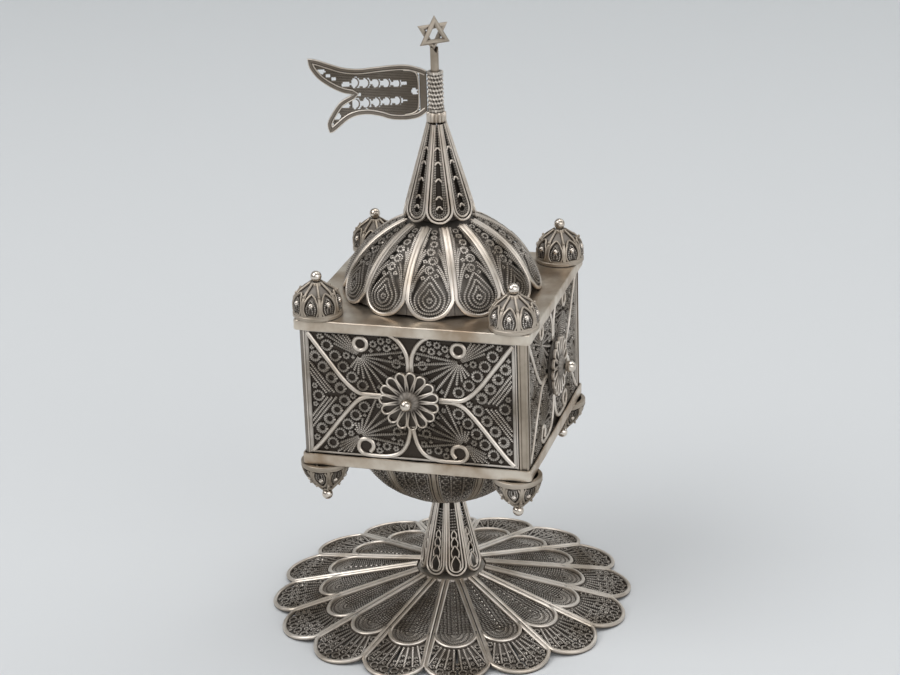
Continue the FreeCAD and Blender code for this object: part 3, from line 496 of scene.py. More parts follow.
def mixed(tree, share, first, second):
    """A colour between two others, each of them three numbers or a socket."""
    first, second = (end if isinstance(end, bpy.types.NodeSocket) else (*end, 1) for end in (first, second))
    return add_node(tree, "Mix", {0: share, 6: first, 7: second}, data_type="RGBA").outputs[2]


def silver(name, light, tarnish, recess, roughness, reach, grain, dents, shares=True):
    """Silver: rubbed bright and tarnished warm in patches, brighter on top as painted light and dark in the
    hollows as painted shade.

    The painted shade comes from how much of the sky each point sees within the given reach, and from the share
    of painted light that each mesh carries; it takes the dark colour of shade with tarnish, and is less of a
    metal there. Patches come from noise, fine scratches and soft dents from bump.
    """
    material = bpy.data.materials.new(name)
    material.use_nodes = True
    tree = material.node_tree
    tree.nodes.clear()
    place = add_node(tree, "TexCoord").outputs["Object"]
    patches, specks, swell = (
        add_node(tree, "TexNoise", {"Vector": place, "Scale": scale, "Detail": fine, "Roughness": rough}).outputs["Fac"]
        for scale, fine, rough in ((90.0, 4.0, 0.55), (grain, 3.0, 0.5), (170.0, 1.0, 0.5)))
    warm = mixed(tree, ranged(tree, patches, 0.36, 0.64, 0.1), tarnish, light)
    # Painted shade: hollows darken by how much sky each point sees and by the mesh's share of painted light.
    open_sky = add_node(tree, "AmbientOcclusion", {"Distance": reach * MM}, samples=8).outputs["AO"]
    depth = ranged(tree, open_sky, 0.2, 0.8)
    if shares:
        share = ranged(tree, add_node(tree, "Attribute", attribute_name="polish").outputs["Fac"], 0.05, 0.6, 0.02)
        depth = add_node(tree, "Math", {0: depth, 1: share}, operation="MULTIPLY").outputs[0]
    scratches = add_node(tree, "Bump", {"Height": specks, "Strength": 0.2, "Distance": 0.05 * MM}).outputs[0]
    dented = add_node(tree, "Bump", {"Height": swell, "Strength": dents, "Distance": 0.6 * MM, "Normal": scratches})
    shader = add_node(tree, "BsdfPrincipled", {
        "Base Color": mixed(tree, depth, recess, warm), "Metallic": ranged(tree, depth, 0.0, 1.0, 0.35),
        "Roughness": ranged(tree, depth, 0.0, 1.0, 0.6, roughness), "Normal": dented.outputs[0]})
    add_node(tree, "OutputMaterial", {"Surface": shader.outputs[0]})


def finish(name):
    """A finish by its name; the first call makes them all.

    Each has its bright colour, its tarnish, its dark colour of painted shade with tarnish for the hollows, roughness,
    reach of the painted shade, grain and dents.
    """
    if name not in bpy.data.materials:
        tone = sizes("spice_finish")
        made = {
            # Flat wire and bars: rubbed bright, with warm tarnish where cloth misses it.
            "polished_wire": (tone.bright, tone.warm, tone.recess, 0.4, 0.5, 2600.0, 0.2),
            # Crowns, bowl bars, flag and star: matt and browner, with soft highlights.
            "worn_wire": (tone.worn, tone.dull, tone.recess, 0.48, 0.7, 2200.0, 0.25),
            # Twisted wire: painted highlight on its crests and beads, and painted shade, dark brown with tarnish, in
            # the hollows between the strands.
            "filigree_wire": (tone.wire, tone.dull, tone.recess, 0.4, 0.6, 3200.0, 0.06),
            # Sheet of the trays: warm with brown patches, and soft dents that bend its reflections.
            "tray_sheet": (tone.plate, tone.patch, tone.recess, 0.36, 1.6, 900.0, 0.35),
            # Posts, pin and rod: plain drawn silver, duller than the wire.
            "drawn_bar": (tone.warm, tone.dull, tone.recess, 0.36, 0.8, 1500.0, 0.1, False),
            # Balls and grains: bright, with painted shade only where they are soldered on.
            "bright_bead": (tone.bright, tone.warm, tone.recess, 0.2, 0.5, 2000.0, 0.05),
        }
        for key, values in made.items():
            silver(key, *values)
    return bpy.data.materials[name]


class Maker:
    """What the operators share: each reads the sizes and makes its pieces."""

    def execute(self, context):
        self.make(sizes("spice_tower"), sizes("spice_wires"))
        return {"FINISHED"}


# Left half of a wall, in millimetres from its middle: two diagonal strips, and two upright scrolls.
DIAGONALS = (
    ((-25.2, 15.2), (-22.6, 11.6), (-20, 8.1), (-17.4, 4.6), (-15.1, 2.1), (-12.8, 0.5), (-10.4, 0.25), (-7, 0.25)),
    ((-25.0, -15.4), (-23.2, -13.6), (-20.4, -10.1), (-18, -7), (-15.3, -3.7), (-12.9, -1.3), (-10.4, -0.3),
     (-7, -0.25)))
UPRIGHTS = (
    ((-5.6, 16.2), (-3.3, 15), (-1.7, 13.1), (-0.65, 10.8), (-0.45, 8.6), (-0.45, 6.8)),
    ((-0.45, -6.8), (-0.5, -8.8), (-1.4, -12), (-3.1, -14.3), (-5.8, -15.4), (-9.1, -15.6), (-12.2, -15.3),
     (-13.5, -13.8), (-13.1, -12), (-11.6, -11.35), (-10.1, -12), (-9.8, -13.4), (-10.6, -14.6)))
# Eyes, and the points that the fans spread from, with the directions of their rays in degrees.
EYE, EYE_LOW, EYE_ROOM = (-12.0, 13.1), (-11.6, -13.4), 2.1
FAN, FAN_LOW = (-12.2, 10.0), (-12.8, -10.6)
FAN_RAYS = (-128, -112, -97, -82, -67, -52, -37, -22, -7, 9)
BUNDLE_RAYS = (121, 128, 135, 142, 149, 156)
# Rings that fill the voids beside the upright scrolls: place and outer radius.
LONE_RINGS = (((-5.5, 12.4), 1.1), ((-3.2, 8.6), 1.35), ((-6.4, -12.9), 1.2), ((-3.6, -8.8), 1.3), ((-2.9, -11.6), 1.0))
# Fixed walls: half width and shift of the middle along the wall; all have one half height and one level.
FIXED_WALLS = {"right": (25.65, 0.0), "back": (25.65, 0.0), "left": (25.7, 0.05)}
FIXED_HALF_HEIGHT, FIXED_LEVEL = 17.95, 65.9
DOOR_HALF_WIDTH, DOOR_SHIFT, HINGE_AT = 26.1, -0.75, -26.9


def wall_rows(diagonals, wide, half_width, half_height, ring):
    """Rings in rows along both sides of the diagonal strips."""
    off = wide / 2 + ring + 0.04
    spots = np.vstack([
        row(diagonals[0], off, ring, 0.02, 0.88), row(diagonals[1], -off, ring, 0.02, 0.88),
        row(diagonals[0], -off, ring, 0.04, 0.66), row(diagonals[1], off, ring, 0.04, 0.66)])
    clear = (np.abs(spots[:, 0]) + ring < half_width - 0.9) & (np.abs(spots[:, 1]) + ring < half_height - 0.3)
    clear &= np.hypot(*spots.T) > 8.4
    clear &= np.minimum(np.hypot(*(spots - EYE).T), np.hypot(*(spots - EYE_LOW).T)) > ring + 2.2
    return apart(spots[clear], ring)


def wall_layouts(half_width, half_height, wires):
    """Flat wire, twisted wire, border strips and fine backing mesh of one wall; wall_pair darkens the strips and the
    mesh as painted shade.
    """
    flat, fine, dull, net = Layout(), Layout(), Layout(), Layout()
    wide, thick, wire, ring = wires.strip_wide, wires.strip_thick, wires.twist_wide, wires.ring_radius
    step = wires.twist_step
    diagonals = [smooth(line, 0.7) for line in DIAGONALS]
    uprights = [smooth(line, finer) for line, finer in zip(UPRIGHTS, (0.6, 0.5))]
    flat.flat(across_u(diagonals), wide, thick)
    flat.flat(across_u(uprights), wide * 0.95, thick)
    flat.flat([circle(EYE, 1.62, 0.4), circle((-EYE[0], EYE[1]), 1.62, 0.4)], 0.9, thick, closed=True)

    def upright(u, pitch):
        return [even([(u, -half_height), (u, half_height)], pitch)]

    def level(v, pitch):
        return [even([(-half_width, v), (half_width, v)], pitch)]

    # A thin edge strip at each side, and border strips that wall_pair darkens as painted shade.
    for sign in (-1, 1):
        flat.flat(upright(sign * (half_width - 0.14), 2.0), 0.28, thick)
        dull.flat(upright(sign * (half_width - 0.75), 2.0), 0.95, thick * 0.8)
        dull.flat(level(sign * (half_height - 0.25), 2.0), 0.5, thick * 0.9)
    # Fine backing mesh, made near black in wall_pair as painted shade inside the box.
    for u in np.arange(-half_width + 0.5, half_width, 1.0):
        net.flat(upright(u, 3.0), 0.9, 0.1, -0.02)
    for v in np.arange(-half_height + 0.5, half_height, 1.0):
        net.flat(level(v, 3.0), 0.9, 0.1)

    # Fields between the strips: above, below and at the side.
    edge, end = half_width - 1.2, half_height - 0.6
    upper, lower = diagonals
    top = [(-23.4, end), *(upper[2:] + (0.7, 0.4)),
           (-0.9, 7.2), (-1.2, 10.8), (-2.2, 13.1), (-3.9, 14.9), (-5, end)]
    low = [(-23.4, -end), *(lower[2:] + (0.7, -0.4)),
           (-0.9, -7.2), (-1.2, -9.8), (-2.0, -12.3), (-3.6, -14.4), (-6, -end)]
    left = [(-edge, 13.6), *(upper[2:-6] + (-0.6, -0.3)), *(lower[2:-6] + (-0.6, 0.3))[::-1], (-edge, -13.6)]

    spots = wall_rows(diagonals, wide, half_width, half_height, ring)
    strands = []
    for pivot, region, sign in ((FAN, top, 1), (FAN_LOW, low, -1)):
        for turns, near, far in ((FAN_RAYS, 0.5, 17), (BUNDLE_RAYS, 0.8, 10)):
            for k, turn in enumerate(turns):
                run = np.linspace(near + step * (k % 2), far, 90)[:, None]
                ray = pivot + run * (heading(turn) * (1, sign))
                strands += clipped([even(until(ray, spots, ring + wire * 0.3), step)], region)
    for gap in np.array((0, 0.8, 1.6)) + wide / 2 + 2 * ring + wire / 2:
        above, below = (beside(even(line, 0.3), sign * gap) for line, sign in zip(diagonals, (-1, 1)))
        strands += clipped([even(above[above[:, 1] > -0.1], step), even(below[below[:, 1] < -0.9], step)], left)
    fine.twisted(across_u(strands), wire, wires.twist_thin, -0.02)

    eyes = [(EYE, EYE_ROOM), (EYE_LOW, EYE_ROOM)]
    taken = both_edges(strands, wire * 0.45) + [circle(spot, ring) for spot in spots]
    taken += [circle(spot, radius) for spot, radius in eyes + [((0, 0), 7.3)]]
    taken += both_edges(diagonals + uprights, wide * 0.45)
    rings = [(spot, ring) for spot in spots] + [(np.array(spot), radius) for spot, radius in LONE_RINGS]
    rings += packed(left, taken, ring, 0.7)
    taken += [circle(spot, radius) for spot, radius in LONE_RINGS]
    taken += [circle(spot, radius * share) for spot, radius in rings + eyes for share in (0.1, 0.5)]
    for region in (top, low):
        rings += packed(region, taken, 1.05, 0.62)
    for sign in (1, -1):
        wedge = [(-1.2, end), (-1.0, 14.6), (-0.25, 12.6), (0, 12.0), (0, end)]
        rings += packed(np.array(wedge) * (1, sign), taken, 0.8, 0.5)
    fine.twisted(across_u(coiled(rings, wire * 0.9, step)), wire * 0.9, wires.twist_thin, closed=True)
    return flat, fine, dull, net


def wall_pair(side, half_width, half_height, level, middle, tower, wires):
    """Flat and twisted wire of one wall, stood up in its place."""
    turn = SIDES[side]
    flat, fine, dull, net = wall_layouts(half_width, half_height, wires)
    out = rotation(turn) @ (0, -1, 0)
    across = rotation(turn) @ (1, 0, 0)
    back = tower.wall_half - wires.strip_thick
    lift = plane_lift(out * back + across * middle + np.array((0, 0, level)), across, (0, 0, 1), out)
    # Painted shade: the backing mesh is near black, darkest behind the door, and the border strips are darkened.
    backing = shaded(net.mesh(lift), 0.02 if side == "front" else 0.08)
    return flat.mesh(lift), joined([fine.mesh(lift), dulled(dull.mesh(lift), 0.42), backing])


class SPICE_OT_walls(Maker, bpy.types.Operator):
    """Three fixed walls: scrolls of flat wire, fans and rings of twisted wire, and a fine mesh behind, dark as painted
    shade
    """
    bl_idname = "spice.walls"
    bl_label = "Walls"

    def make(self, tower, wires):
        for side, (half, middle) in FIXED_WALLS.items():
            flat, fine = wall_pair(side, half, FIXED_HALF_HEIGHT, FIXED_LEVEL, middle, tower, wires)
            piece(f"wall_{side}_strips", flat, "polished_wire", nodes=[f"wall_{side}"])
            piece(f"wall_{side}_filigree", fine, "filigree_wire", nodes=[f"wall_{side}"])


class SPICE_OT_door(Maker, bpy.types.Operator):
    """Front wall on its hinge, with the knuckle at its left edge"""
    bl_idname = "spice.door"
    bl_label = "Door"

    def make(self, tower, wires):
        flat, fine = wall_pair("front", DOOR_HALF_WIDTH, tower.wall_high, tower.wall_level, DOOR_SHIFT, tower, wires)
        radii = [0.5, 0.95, 0.95, 0.5, 0.5]
        heights = np.array([-1, -1, 1, 1, -1]) * tower.wall_high + tower.wall_level
        knuckle = moved(turned_profile(radii, heights, 32), (HINGE_AT, HINGE_AT, 0))
        piece("door_strips", joined([flat, shaded(knuckle, 0.2)]), "polished_wire", "door", ["door"])
        piece("door_filigree", fine, "filigree_wire", "door", ["door"])


def rosette_mesh(tower):
    """Daisy of looped flat wire on a low cone: each loop is a narrow drop from the middle to the rim."""
    loops = Layout()
    end = tower.rosette_radius - 0.8
    half = [(0.12, 2.0), (0.5, 3.6), (1.02, end - 1.3), (1.08, end - 0.3), (0.62, end + 0.35)]
    drop = smooth(arched(half, (0, end + 0.55))[:, ::-1], 0.3, closed=True)
    loops.flat([drop], 0.42, 0.85, 0.8, closed=True)
    points, faces, shares = loops.mesh(plane_lift((0, 0, 0), (1, 0, 0), (0, 1, 0), (0, 0, 1)))
    # The loops darken towards the middle; the disc behind them is a dark sheet of painted shade, and the cone is dark
    # as well.
    daisy = around((points, faces, shares * np.clip((points[:, 0] - 2.2) / 4.2, 0.14, 1)), ROSETTE_LOOPS, 12)
    cone = turned_profile([2.9, 2.8, 2.4, 1.9, 1.3, 0.01], [0.3, 1.5, 2.0, 2.35, 2.55, 2.6], 45, ROSETTE_LOOPS, 0.35)
    disc = turned_profile([6.9, 6.9, 3.0], [0.0, 0.3, 0.4], 45)
    return daisy, joined([shaded(cone, 0.24), shaded(disc, 0.14)])


class SPICE_OT_rosettes(Maker, bpy.types.Operator):
    """Rosette of fifteen looped petals and a bright ball on each wall; the front ball is the pull"""
    bl_idname = "spice.rosettes"
    bl_label = "Rosettes"

    def make(self, tower, wires):
        daisy, cone = rosette_mesh(tower)
        ball = moved(ball_mesh(tower.rosette_ball), (0, 0, 2.6 + tower.rosette_ball * 0.95))
        for side, turn in SIDES.items():
            if side == "front":
                body, level, shift = "door", tower.wall_level, DOOR_SHIFT
            else:
                body, level, shift = "box", FIXED_LEVEL, FIXED_WALLS[side][1]
            stand = np.column_stack([rotation(turn) @ (1, 0, 0), (0, 0, 1), rotation(turn) @ (0, -1, 0)])
            spot = stand @ (shift, level, tower.wall_half)
            for name, mesh, look, node, slot in (
                    ("loops", daisy, "polished_wire", "rosette", "filigree_silver"),
                    ("cone", cone, "filigree_wire", "rosette", "filigree_silver"),
                    ("ball", ball, "bright_bead", "rosette_ball", "polished_silver")):
                stood = mesh[0] @ stand.T + spot, mesh[1], mesh[2]
                piece(f"rosette_{side}_{name}", stood, look, body, [f"{node}_{side}"])


def gore_surface(radius, bulge, height, fullness, lobes, sign=1):
    """One lobe of a melon dome, from millimetres across it and along its meridian.

    The meridian is a superellipse; across it the lobe swells by the bulge times the cosine of the angle in the lobe.
    """
    turns = np.radians(90 * np.linspace(0, 1, 400))
    reach = radius * np.cos(turns) ** (2 / fullness)
    rise = height * np.sin(turns) ** (2 / fullness)
    run = np.r_[0, np.cumsum(np.hypot(np.diff(reach), np.diff(rise)))]
    half = np.pi / lobes

    def surface(line):
        across, along = line[:, 0], line[:, 1]
        base = np.interp(along, run, reach)
        angle = across / np.maximum(base, 0.5)
        swell = bulge * base / radius * np.cos(np.clip(angle / half, -1, 1) * np.pi / 2)
        out = base + swell
        return np.column_stack([out * np.cos(angle), out * np.sin(angle), sign * np.interp(along, run, rise)])

    def half_width(along):
        return np.interp(along, run, reach) * half
    return surface, half_width, run[-1]


def gore_frame(half_width, top, inset, low, step):
    """Frame of one lobe: up both sides at an inset from the notches, and round below."""
    along = np.arange(low + 2.6, top, step)
    side = np.column_stack([half_width(along) - inset, along])[::-1]
    wide = half_width(low) - inset
    return smooth(arched([*side, (wide * 0.93, low + 1.2), (wide * 0.6, low * 0.45 + 0.2)], (0.0, 0.3)), step)


# Rings up the middle of a dome lobe, between the scrolls: place and outer radius.
DOME_RINGS = [
    ((0.0, 4.6), 0.85), ((0.0, 20.9), 0.85), ((-0.35, 11.8), 1.2), ((0.4, 14.2), 1.25), ((-0.3, 16.6), 1.15),
    ((0.2, 18.8), 1.05)]


def gore_layouts(half_width, top, wires):
    """Wires of one lobe of the dome: a frame, nested drops round a small ring, scrolls above and rings between."""
    flat, fine = Layout(), Layout()
    low = 2.4
    flat.flat([gore_frame(half_width, top, 0.5, low, 0.7)], 0.92, 0.85)
    frame_line = gore_frame(half_width, top, 0.98, low, 0.7)
    wire, step = wires.twist_wide * 0.85, wires.twist_step
    strands = [even(gore_frame(half_width, top, 1.25, low + 0.3, 0.5) + (0, 0.25), step)]
    for wide, base, tip in ((1.5, 2.9, 7.2), (2.45, 2.2, 8.8), (3.4, 1.5, 10.4)):
        half = [(0.1, tip), (wide * 0.45, tip * 0.75 + 0.6), (wide, 5.0), (wide * 0.75, base + 0.8)]
        strands.append(smooth(arched(half, (0, base)), step))
    for sign in (1, -1):
        for start in (7.4, 8.4, 11.6, 12.6, 15.8, 16.8, 20.0):
            reach = half_width(start) - 1.1
            scroll = [(reach, start - 1.8), (reach * 0.85, start + 0.4), (reach * 0.45 + 0.7, start + 2.8),
                      (1.45, start + 4.6)]
            strands += clipped([smooth(np.array(scroll) * (sign, 1), step)], frame_line * (0.9, 1))
    fine.twisted(strands, wire, wires.twist_thin)
    taken = both_edges(strands, wire * 0.45) + [circle(centre, radius) for centre, radius in DOME_RINGS]
    thinner = wire * 0.72
    rings = coiled(DOME_RINGS + packed(frame_line * (0.95, 1), taken, 0.95, 0.55), thinner, step)
    fine.twisted(rings, thinner, wires.twist_thin * 0.8, closed=True)
    return flat, fine


def gore_shell(lift, half_width, top, depth, polish, rows=22):
    """Dark sheet of painted shade behind one lobe's wires, at a depth below its surface."""
    grid = np.stack(np.meshgrid(np.linspace(-1, 1, 9), np.linspace(0.5, top, rows)), axis=-1)
    grid[..., 0] *= half_width(grid[..., 1])
    points, normals = lift(grid.reshape(-1, 2))
    return shaded(grid_mesh((points - depth * normals).reshape(rows, 9, 3), wrap_across=False), polish)


def notch_bars(radius, height, fullness, lobes, first, cut, pitch, wide, thick):
    """Bar in the notch between two lobes, from a distance above the rim to a distance below the top."""
    notch, _, run = gore_surface(radius, 0.0, height, fullness, lobes)
    bars = Layout()
    bars.flat([even([(0, first), (0, run - cut)], pitch)], wide, thick)
    return bars.mesh(curved_lift(notch))


class SPICE_OT_dome(Maker, bpy.types.Operator):
    """Melon dome: twelve lobes of twisted wire between polished bars, on a dark sheet of painted shade"""
    bl_idname = "spice.dome"
    bl_label = "Dome"

    def make(self, tower, wires):
        lobes, turn = tower.dome_lobes, tower.dome_turn
        start = turn + 180 / lobes
        place = (0, 0, tower.roof_level)
        radius, height, fullness = tower.dome_radius - 1.4, tower.dome_height - 0.9, 1.8
        surface, half_width, run = gore_surface(radius, 0.55, height, fullness, lobes)
        flat, fine = gore_layouts(half_width, run - 8.2, wires)
        lift = curved_lift(surface)
        bars = notch_bars(radius, height, fullness, lobes, first=4.2, cut=8.0, pitch=0.9, wide=0.7, thick=0.72)
        strips = joined([around(flat.mesh(lift), lobes, start), around(bars, lobes, turn)])
        # Painted shade: the cap and the sheets behind the lobes are dark.
        cap = turned_profile([11.5, 8.5, 5.0, 0.01], [14.6, 16.6, 18.2, 18.6], 48)
        shell = gore_shell(lift, half_width, run - 6.5, 0.75, 0.2)
        lining = joined([shaded(cap, 0.2), around(shell, lobes, start)])
        piece("dome_bars", moved(strips, place), "polished_wire", nodes=["dome"])
        piece("dome_filigree", moved(around(fine.mesh(lift), lobes, start), place), "filigree_wire", nodes=["dome"])
        piece("dome_lining", moved(lining, place), "filigree_wire", nodes=["dome"])


class SPICE_OT_bowl(Maker, bpy.types.Operator):
    """Ribbed bowl below the box: twisted ribs with columns of small eyelets between flat bars"""
    bl_idname = "spice.bowl"
    bl_label = "Bowl"

    def make(self, tower, wires):
        lobes, turn = tower.dome_lobes, tower.dome_turn
        start = turn + 180 / lobes
        place = (0, 0, tower.bowl_level)
        radius, height, fullness = tower.bowl_radius - 0.95, tower.bowl_depth - 0.6, 1.85
        surface, half_width, run = gore_surface(radius, 0.4, height, fullness, lobes)
        top = run - 7.0
        flat, fine = Layout(), Layout()
        flat.flat([gore_frame(half_width, top, 0.95, 1.2, 0.8)], 0.4, 0.55)
        strands = []
        for share in (-0.88, -0.32, 0.32, 0.88):
            along = np.arange(1.6 + 1.5 * abs(share), top, wires.twist_step * 1.25)
            strands.append(np.column_stack([(half_width(along) - 0.9) * share, along]))
        eyelets = []
        for share in (-0.6, 0, 0.6):
            along = 2.6 + 0.5 * (share == 0)
            while along < top - 1.5:
                inner = half_width(along) - 0.9
                ring = min(0.85, inner * 0.25)
                eyelets.append(circle((inner * share, along), ring, 0.42))
                along += 2 * ring + 0.5
        fine.twisted(strands, 0.6, 0.42)
        fine.twisted(eyelets, 0.5, 0.36, closed=True)
        lift = curved_lift(surface)
        bars = notch_bars(radius, height, fullness, lobes, first=0.3, cut=6.5, pitch=1.0, wide=1.1, thick=0.6)
        strips = joined([around(flat.mesh(lift), lobes, start), around(bars, lobes, turn)])
        # Dark sheet of painted shade behind the ribs and eyelets.
        shell = gore_shell(lift, half_width, top, 0.25, 0.28)
        fill = joined([around(fine.mesh(lift), lobes, start), around(shell, lobes, start)])
        piece("bowl_bars", moved(strips, place, flip=True), "worn_wire", nodes=["bowl"])
        piece("bowl_filigree", moved(fill, place, flip=True), "filigree_wire", nodes=["bowl"])


def foot_lift(tower, dish):
    """Sector of the foot: distance across and along its middle line, on the cone's flats; the fill is dished."""
    fall = (tower.foot_rise - tower.foot_rim + 0.25) / (tower.foot_radius - tower.foot_hub)
    half = np.tan(np.pi / tower.foot_lobes)

    def surface(line):
        across, along = line[:, 0], line[:, 1]
        height = tower.foot_rise - fall * (along - tower.foot_hub) - 0.9
        share = np.clip(across / np.maximum(along * half, 0.5), -1, 1)
        sag = dish * (1 - share ** 2) * np.clip((along - tower.foot_hub) / 8, 0, 1)
        sag *= np.clip((tower.foot_petal - along) / 3, 0, 1)
        return np.column_stack([along, across, height - sag])
    return flipped(curved_lift(surface)), half


def lobe_arc(tower):
    """Centre, radius and half angle of the arc that ends one lobe of the foot."""
    step = np.pi / tower.foot_lobes
    chord, notch = tower.foot_notch * np.cos(step), tower.foot_notch * np.sin(step)
    sagitta = tower.foot_radius - chord
    radius = (notch ** 2 + sagitta ** 2) / (2 * sagitta)
    return tower.foot_radius - radius, radius, np.degrees(np.arctan2(notch, radius - sagitta))


def foot_layouts(tower, wires, half):
    """Frames and fill of one petal of the foot and of the lobe beyond it."""
    flat, fine, coils = Layout(), Layout(), Layout()
    strip = wires.foot_strip
    shoulder = tower.foot_petal / (1 + half)
    end_radius = shoulder * half
    hub = tower.foot_hub + 0.2
    gap = strip / 2 + 0.12
    side = even([(hub * half - gap, hub), (shoulder * half - gap, shoulder)], 1.2)
    nose = circle((0, shoulder), end_radius - gap, 0.8, 0, 180)
    flat.flat([even(arched(side, nose[1:]), 1.0)], strip, 0.95)
    centre, radius, half_turn = lobe_arc(tower)
    outer = circle((0, centre), radius - strip / 2, 0.8, 90 - half_turn, 2 * half_turn)
    notch = (tower.foot_notch * half - gap * 0.9, tower.foot_notch - 0.6)
    inner = even([(shoulder * half - gap, shoulder), notch], 1.0)
    flat.flat([even(arched(inner, outer[1:-1]), 0.9)], strip, 0.95)

    strands = []
    for sign in (1, -1):
        for along in np.arange(hub + 1.0, shoulder + 0.2, 0.62):
            wide = along * half - gap - strip / 2 + 0.1
            if wide > 0.7:
                comb = np.array([(0.36, along - 0.5), (wide * 0.6, along + 0.1), (wide, along + 0.35)])
                strands.append(even(comb * (sign, 1), 0.5))
    reach = end_radius - gap - strip / 2 + 0.1
    for k, turn in enumerate(np.linspace(3, 177, 30)):
        strands.append(even([(0, shoulder) + heading(turn) * far for far in (2.2 if k % 2 else 0.7, reach)], 0.55))
    fine.twisted(strands, 0.46, 0.3, 0.1)
    middle = [circle((0, along), 0.42, 0.3) for along in np.arange(hub + 2, shoulder + 0.5, 1.45)]
    fine.twisted(middle, 0.34, 0.26, 0.3, closed=True)

    near = circle((0, shoulder), end_radius + 0.25, 0.8, 20, 140)
    far = circle((0, centre), radius - strip, 0.8, 90 + half_turn, -2 * half_turn)
    lobe = np.vstack([near, far])
    rays = [even([(0, shoulder - 2) + heading(turn) * far for far in (4, 15.2)], wires.twist_step)
            for turn in np.linspace(62, 118, 8)]
    rays = clipped(rays, lobe)
    coils.twisted(rays, 0.72, 0.5, 0.05)
    rings = coiled(packed(lobe, both_edges(rays, 0.24), 1.2, 0.5), 0.54, wires.twist_step)
    coils.twisted(rings, 0.58, 0.42, 0.05, closed=True)
    return flat, fine, coils


def petal_sheet(tower, lift, half):
    """Dark sheet of painted shade behind the combs of one petal."""
    shoulder = tower.foot_petal / (1 + half)
    levels = np.r_[np.linspace(tower.foot_hub, shoulder, 12), tower.foot_petal - 0.4]
    share, along = np.meshgrid(np.linspace(-1, 1, 7), levels)
    round_end = np.sqrt(np.maximum((shoulder * half) ** 2 - (along - shoulder) ** 2, 0.5))
    wide = np.where(along > shoulder, round_end, along * half) - 0.5
    points, normals = lift(np.column_stack([(share * wide).ravel(), along.ravel()]))
    return shaded(grid_mesh((points + 0.02 * normals).reshape(*along.shape, 3), wrap_across=False), 0.36)


def lobe_sheets(tower, wires, lift, half):
    """Dark sheets of painted shade behind the coils of one lobe, ruled between the petal's round end and the lobe's
    arc, with slits.
    """
    shoulder = tower.foot_petal / (1 + half)
    centre, radius, half_turn = lobe_arc(tower)
    patches = []
    for first, last in ((0, 0.085), (0.115, 0.485), (0.515, 0.885), (0.915, 1)):
        share = np.linspace(first, last, max(3, int(30 * (last - first))))[None, :]
        near, far = np.radians(180 * share), np.radians(90 + half_turn * (2 * share - 1))
        out = np.linspace(0, 1, 4)[:, None]
        reach = radius - wires.foot_strip * 0.6
        across = (1 - out) * shoulder * half * 0.96 * np.cos(near) + out * reach * np.cos(far)
        along = (1 - out) * (shoulder + shoulder * half * 0.96 * np.sin(near)) + out * (centre + reach * np.sin(far))
        points, normals = lift(np.column_stack([across.ravel(), along.ravel()]))
        patches.append(grid_mesh((points + 0.01 * normals).reshape(*across.shape, 3), wrap_across=False))
    return shaded(joined(patches), 0.16)


class SPICE_OT_foot(Maker, bpy.types.Operator):
    """Lobed foot: sixteen petals framed by pairs of flat wires, with combed and coiled wire between"""
    bl_idname = "spice.foot"
    bl_label = "Foot"

    def make(self, tower, wires):
        dished, half = foot_lift(tower, 0.35)
        level, _ = foot_lift(tower, 0.0)
        flat, fine, coils = foot_layouts(tower, wires, half)
        hub = turned_profile([8.3, 8.8, 8.5, 8.0, 5.0, 0.01], [7.6, 8.3, 8.75, 8.9, 8.95, 8.95], 48)
        petal = joined([fine.mesh(dished), petal_sheet(tower, dished, half)])
        lobe = joined([coils.mesh(level), lobe_sheets(tower, wires, level, half)])
        turn = FOOT_TURN + 180 / tower.foot_lobes
        frames, petals, lobes = (around(mesh, tower.foot_lobes, turn) for mesh in (flat.mesh(level), petal, lobe))
        piece("foot_frames", frames, "polished_wire", nodes=["foot"])
        piece("foot_filigree", joined([petals, shaded(hub, 0.4)]), "filigree_wire", nodes=["foot"])
        piece("foot_coils", lobes, "filigree_wire", nodes=["foot"])


def flipped(lift):
    """The same lift with its normals pointing up."""
    def upward(line):
        points, normals = lift(line)
        return points, np.where(normals[:, 2:3] < 0, -normals, normals)
    return upward


# How far a leaf's face stands out from the plane through its foot, and the thickness of its outer frame.
LEAF_PLATE, LEAF_FRAME = 0.9, 0.75


def leaf_lift(foot_radius, neck_radius, height, thick):
    """One leaning leaf in the plane through its foot: across, and up its slope. Its face is the outer one."""
    lean = foot_radius - neck_radius
    slope = np.hypot(lean, height)
    up = np.array((-lean, 0, height)) / slope
    out = np.array((height, 0, lean)) / slope
    return plane_lift(np.array((foot_radius, 0, 0)) + out * thick, (0, 1, 0), up, out), slope


def leaf_outline(width, top_width, slope, inset):
    """Open outline of a leaf: rounded foot, straight sides."""
    half = width / 2 - inset
    top = max(top_width / 2 - inset * 0.55, 0.2)
    side = even([(top, slope - 0.2), (half, width / 2 + 0.4)], 1.0)
    return arched(side, circle((0, width / 2), half, 0.5, 0, -180)[1:-1])


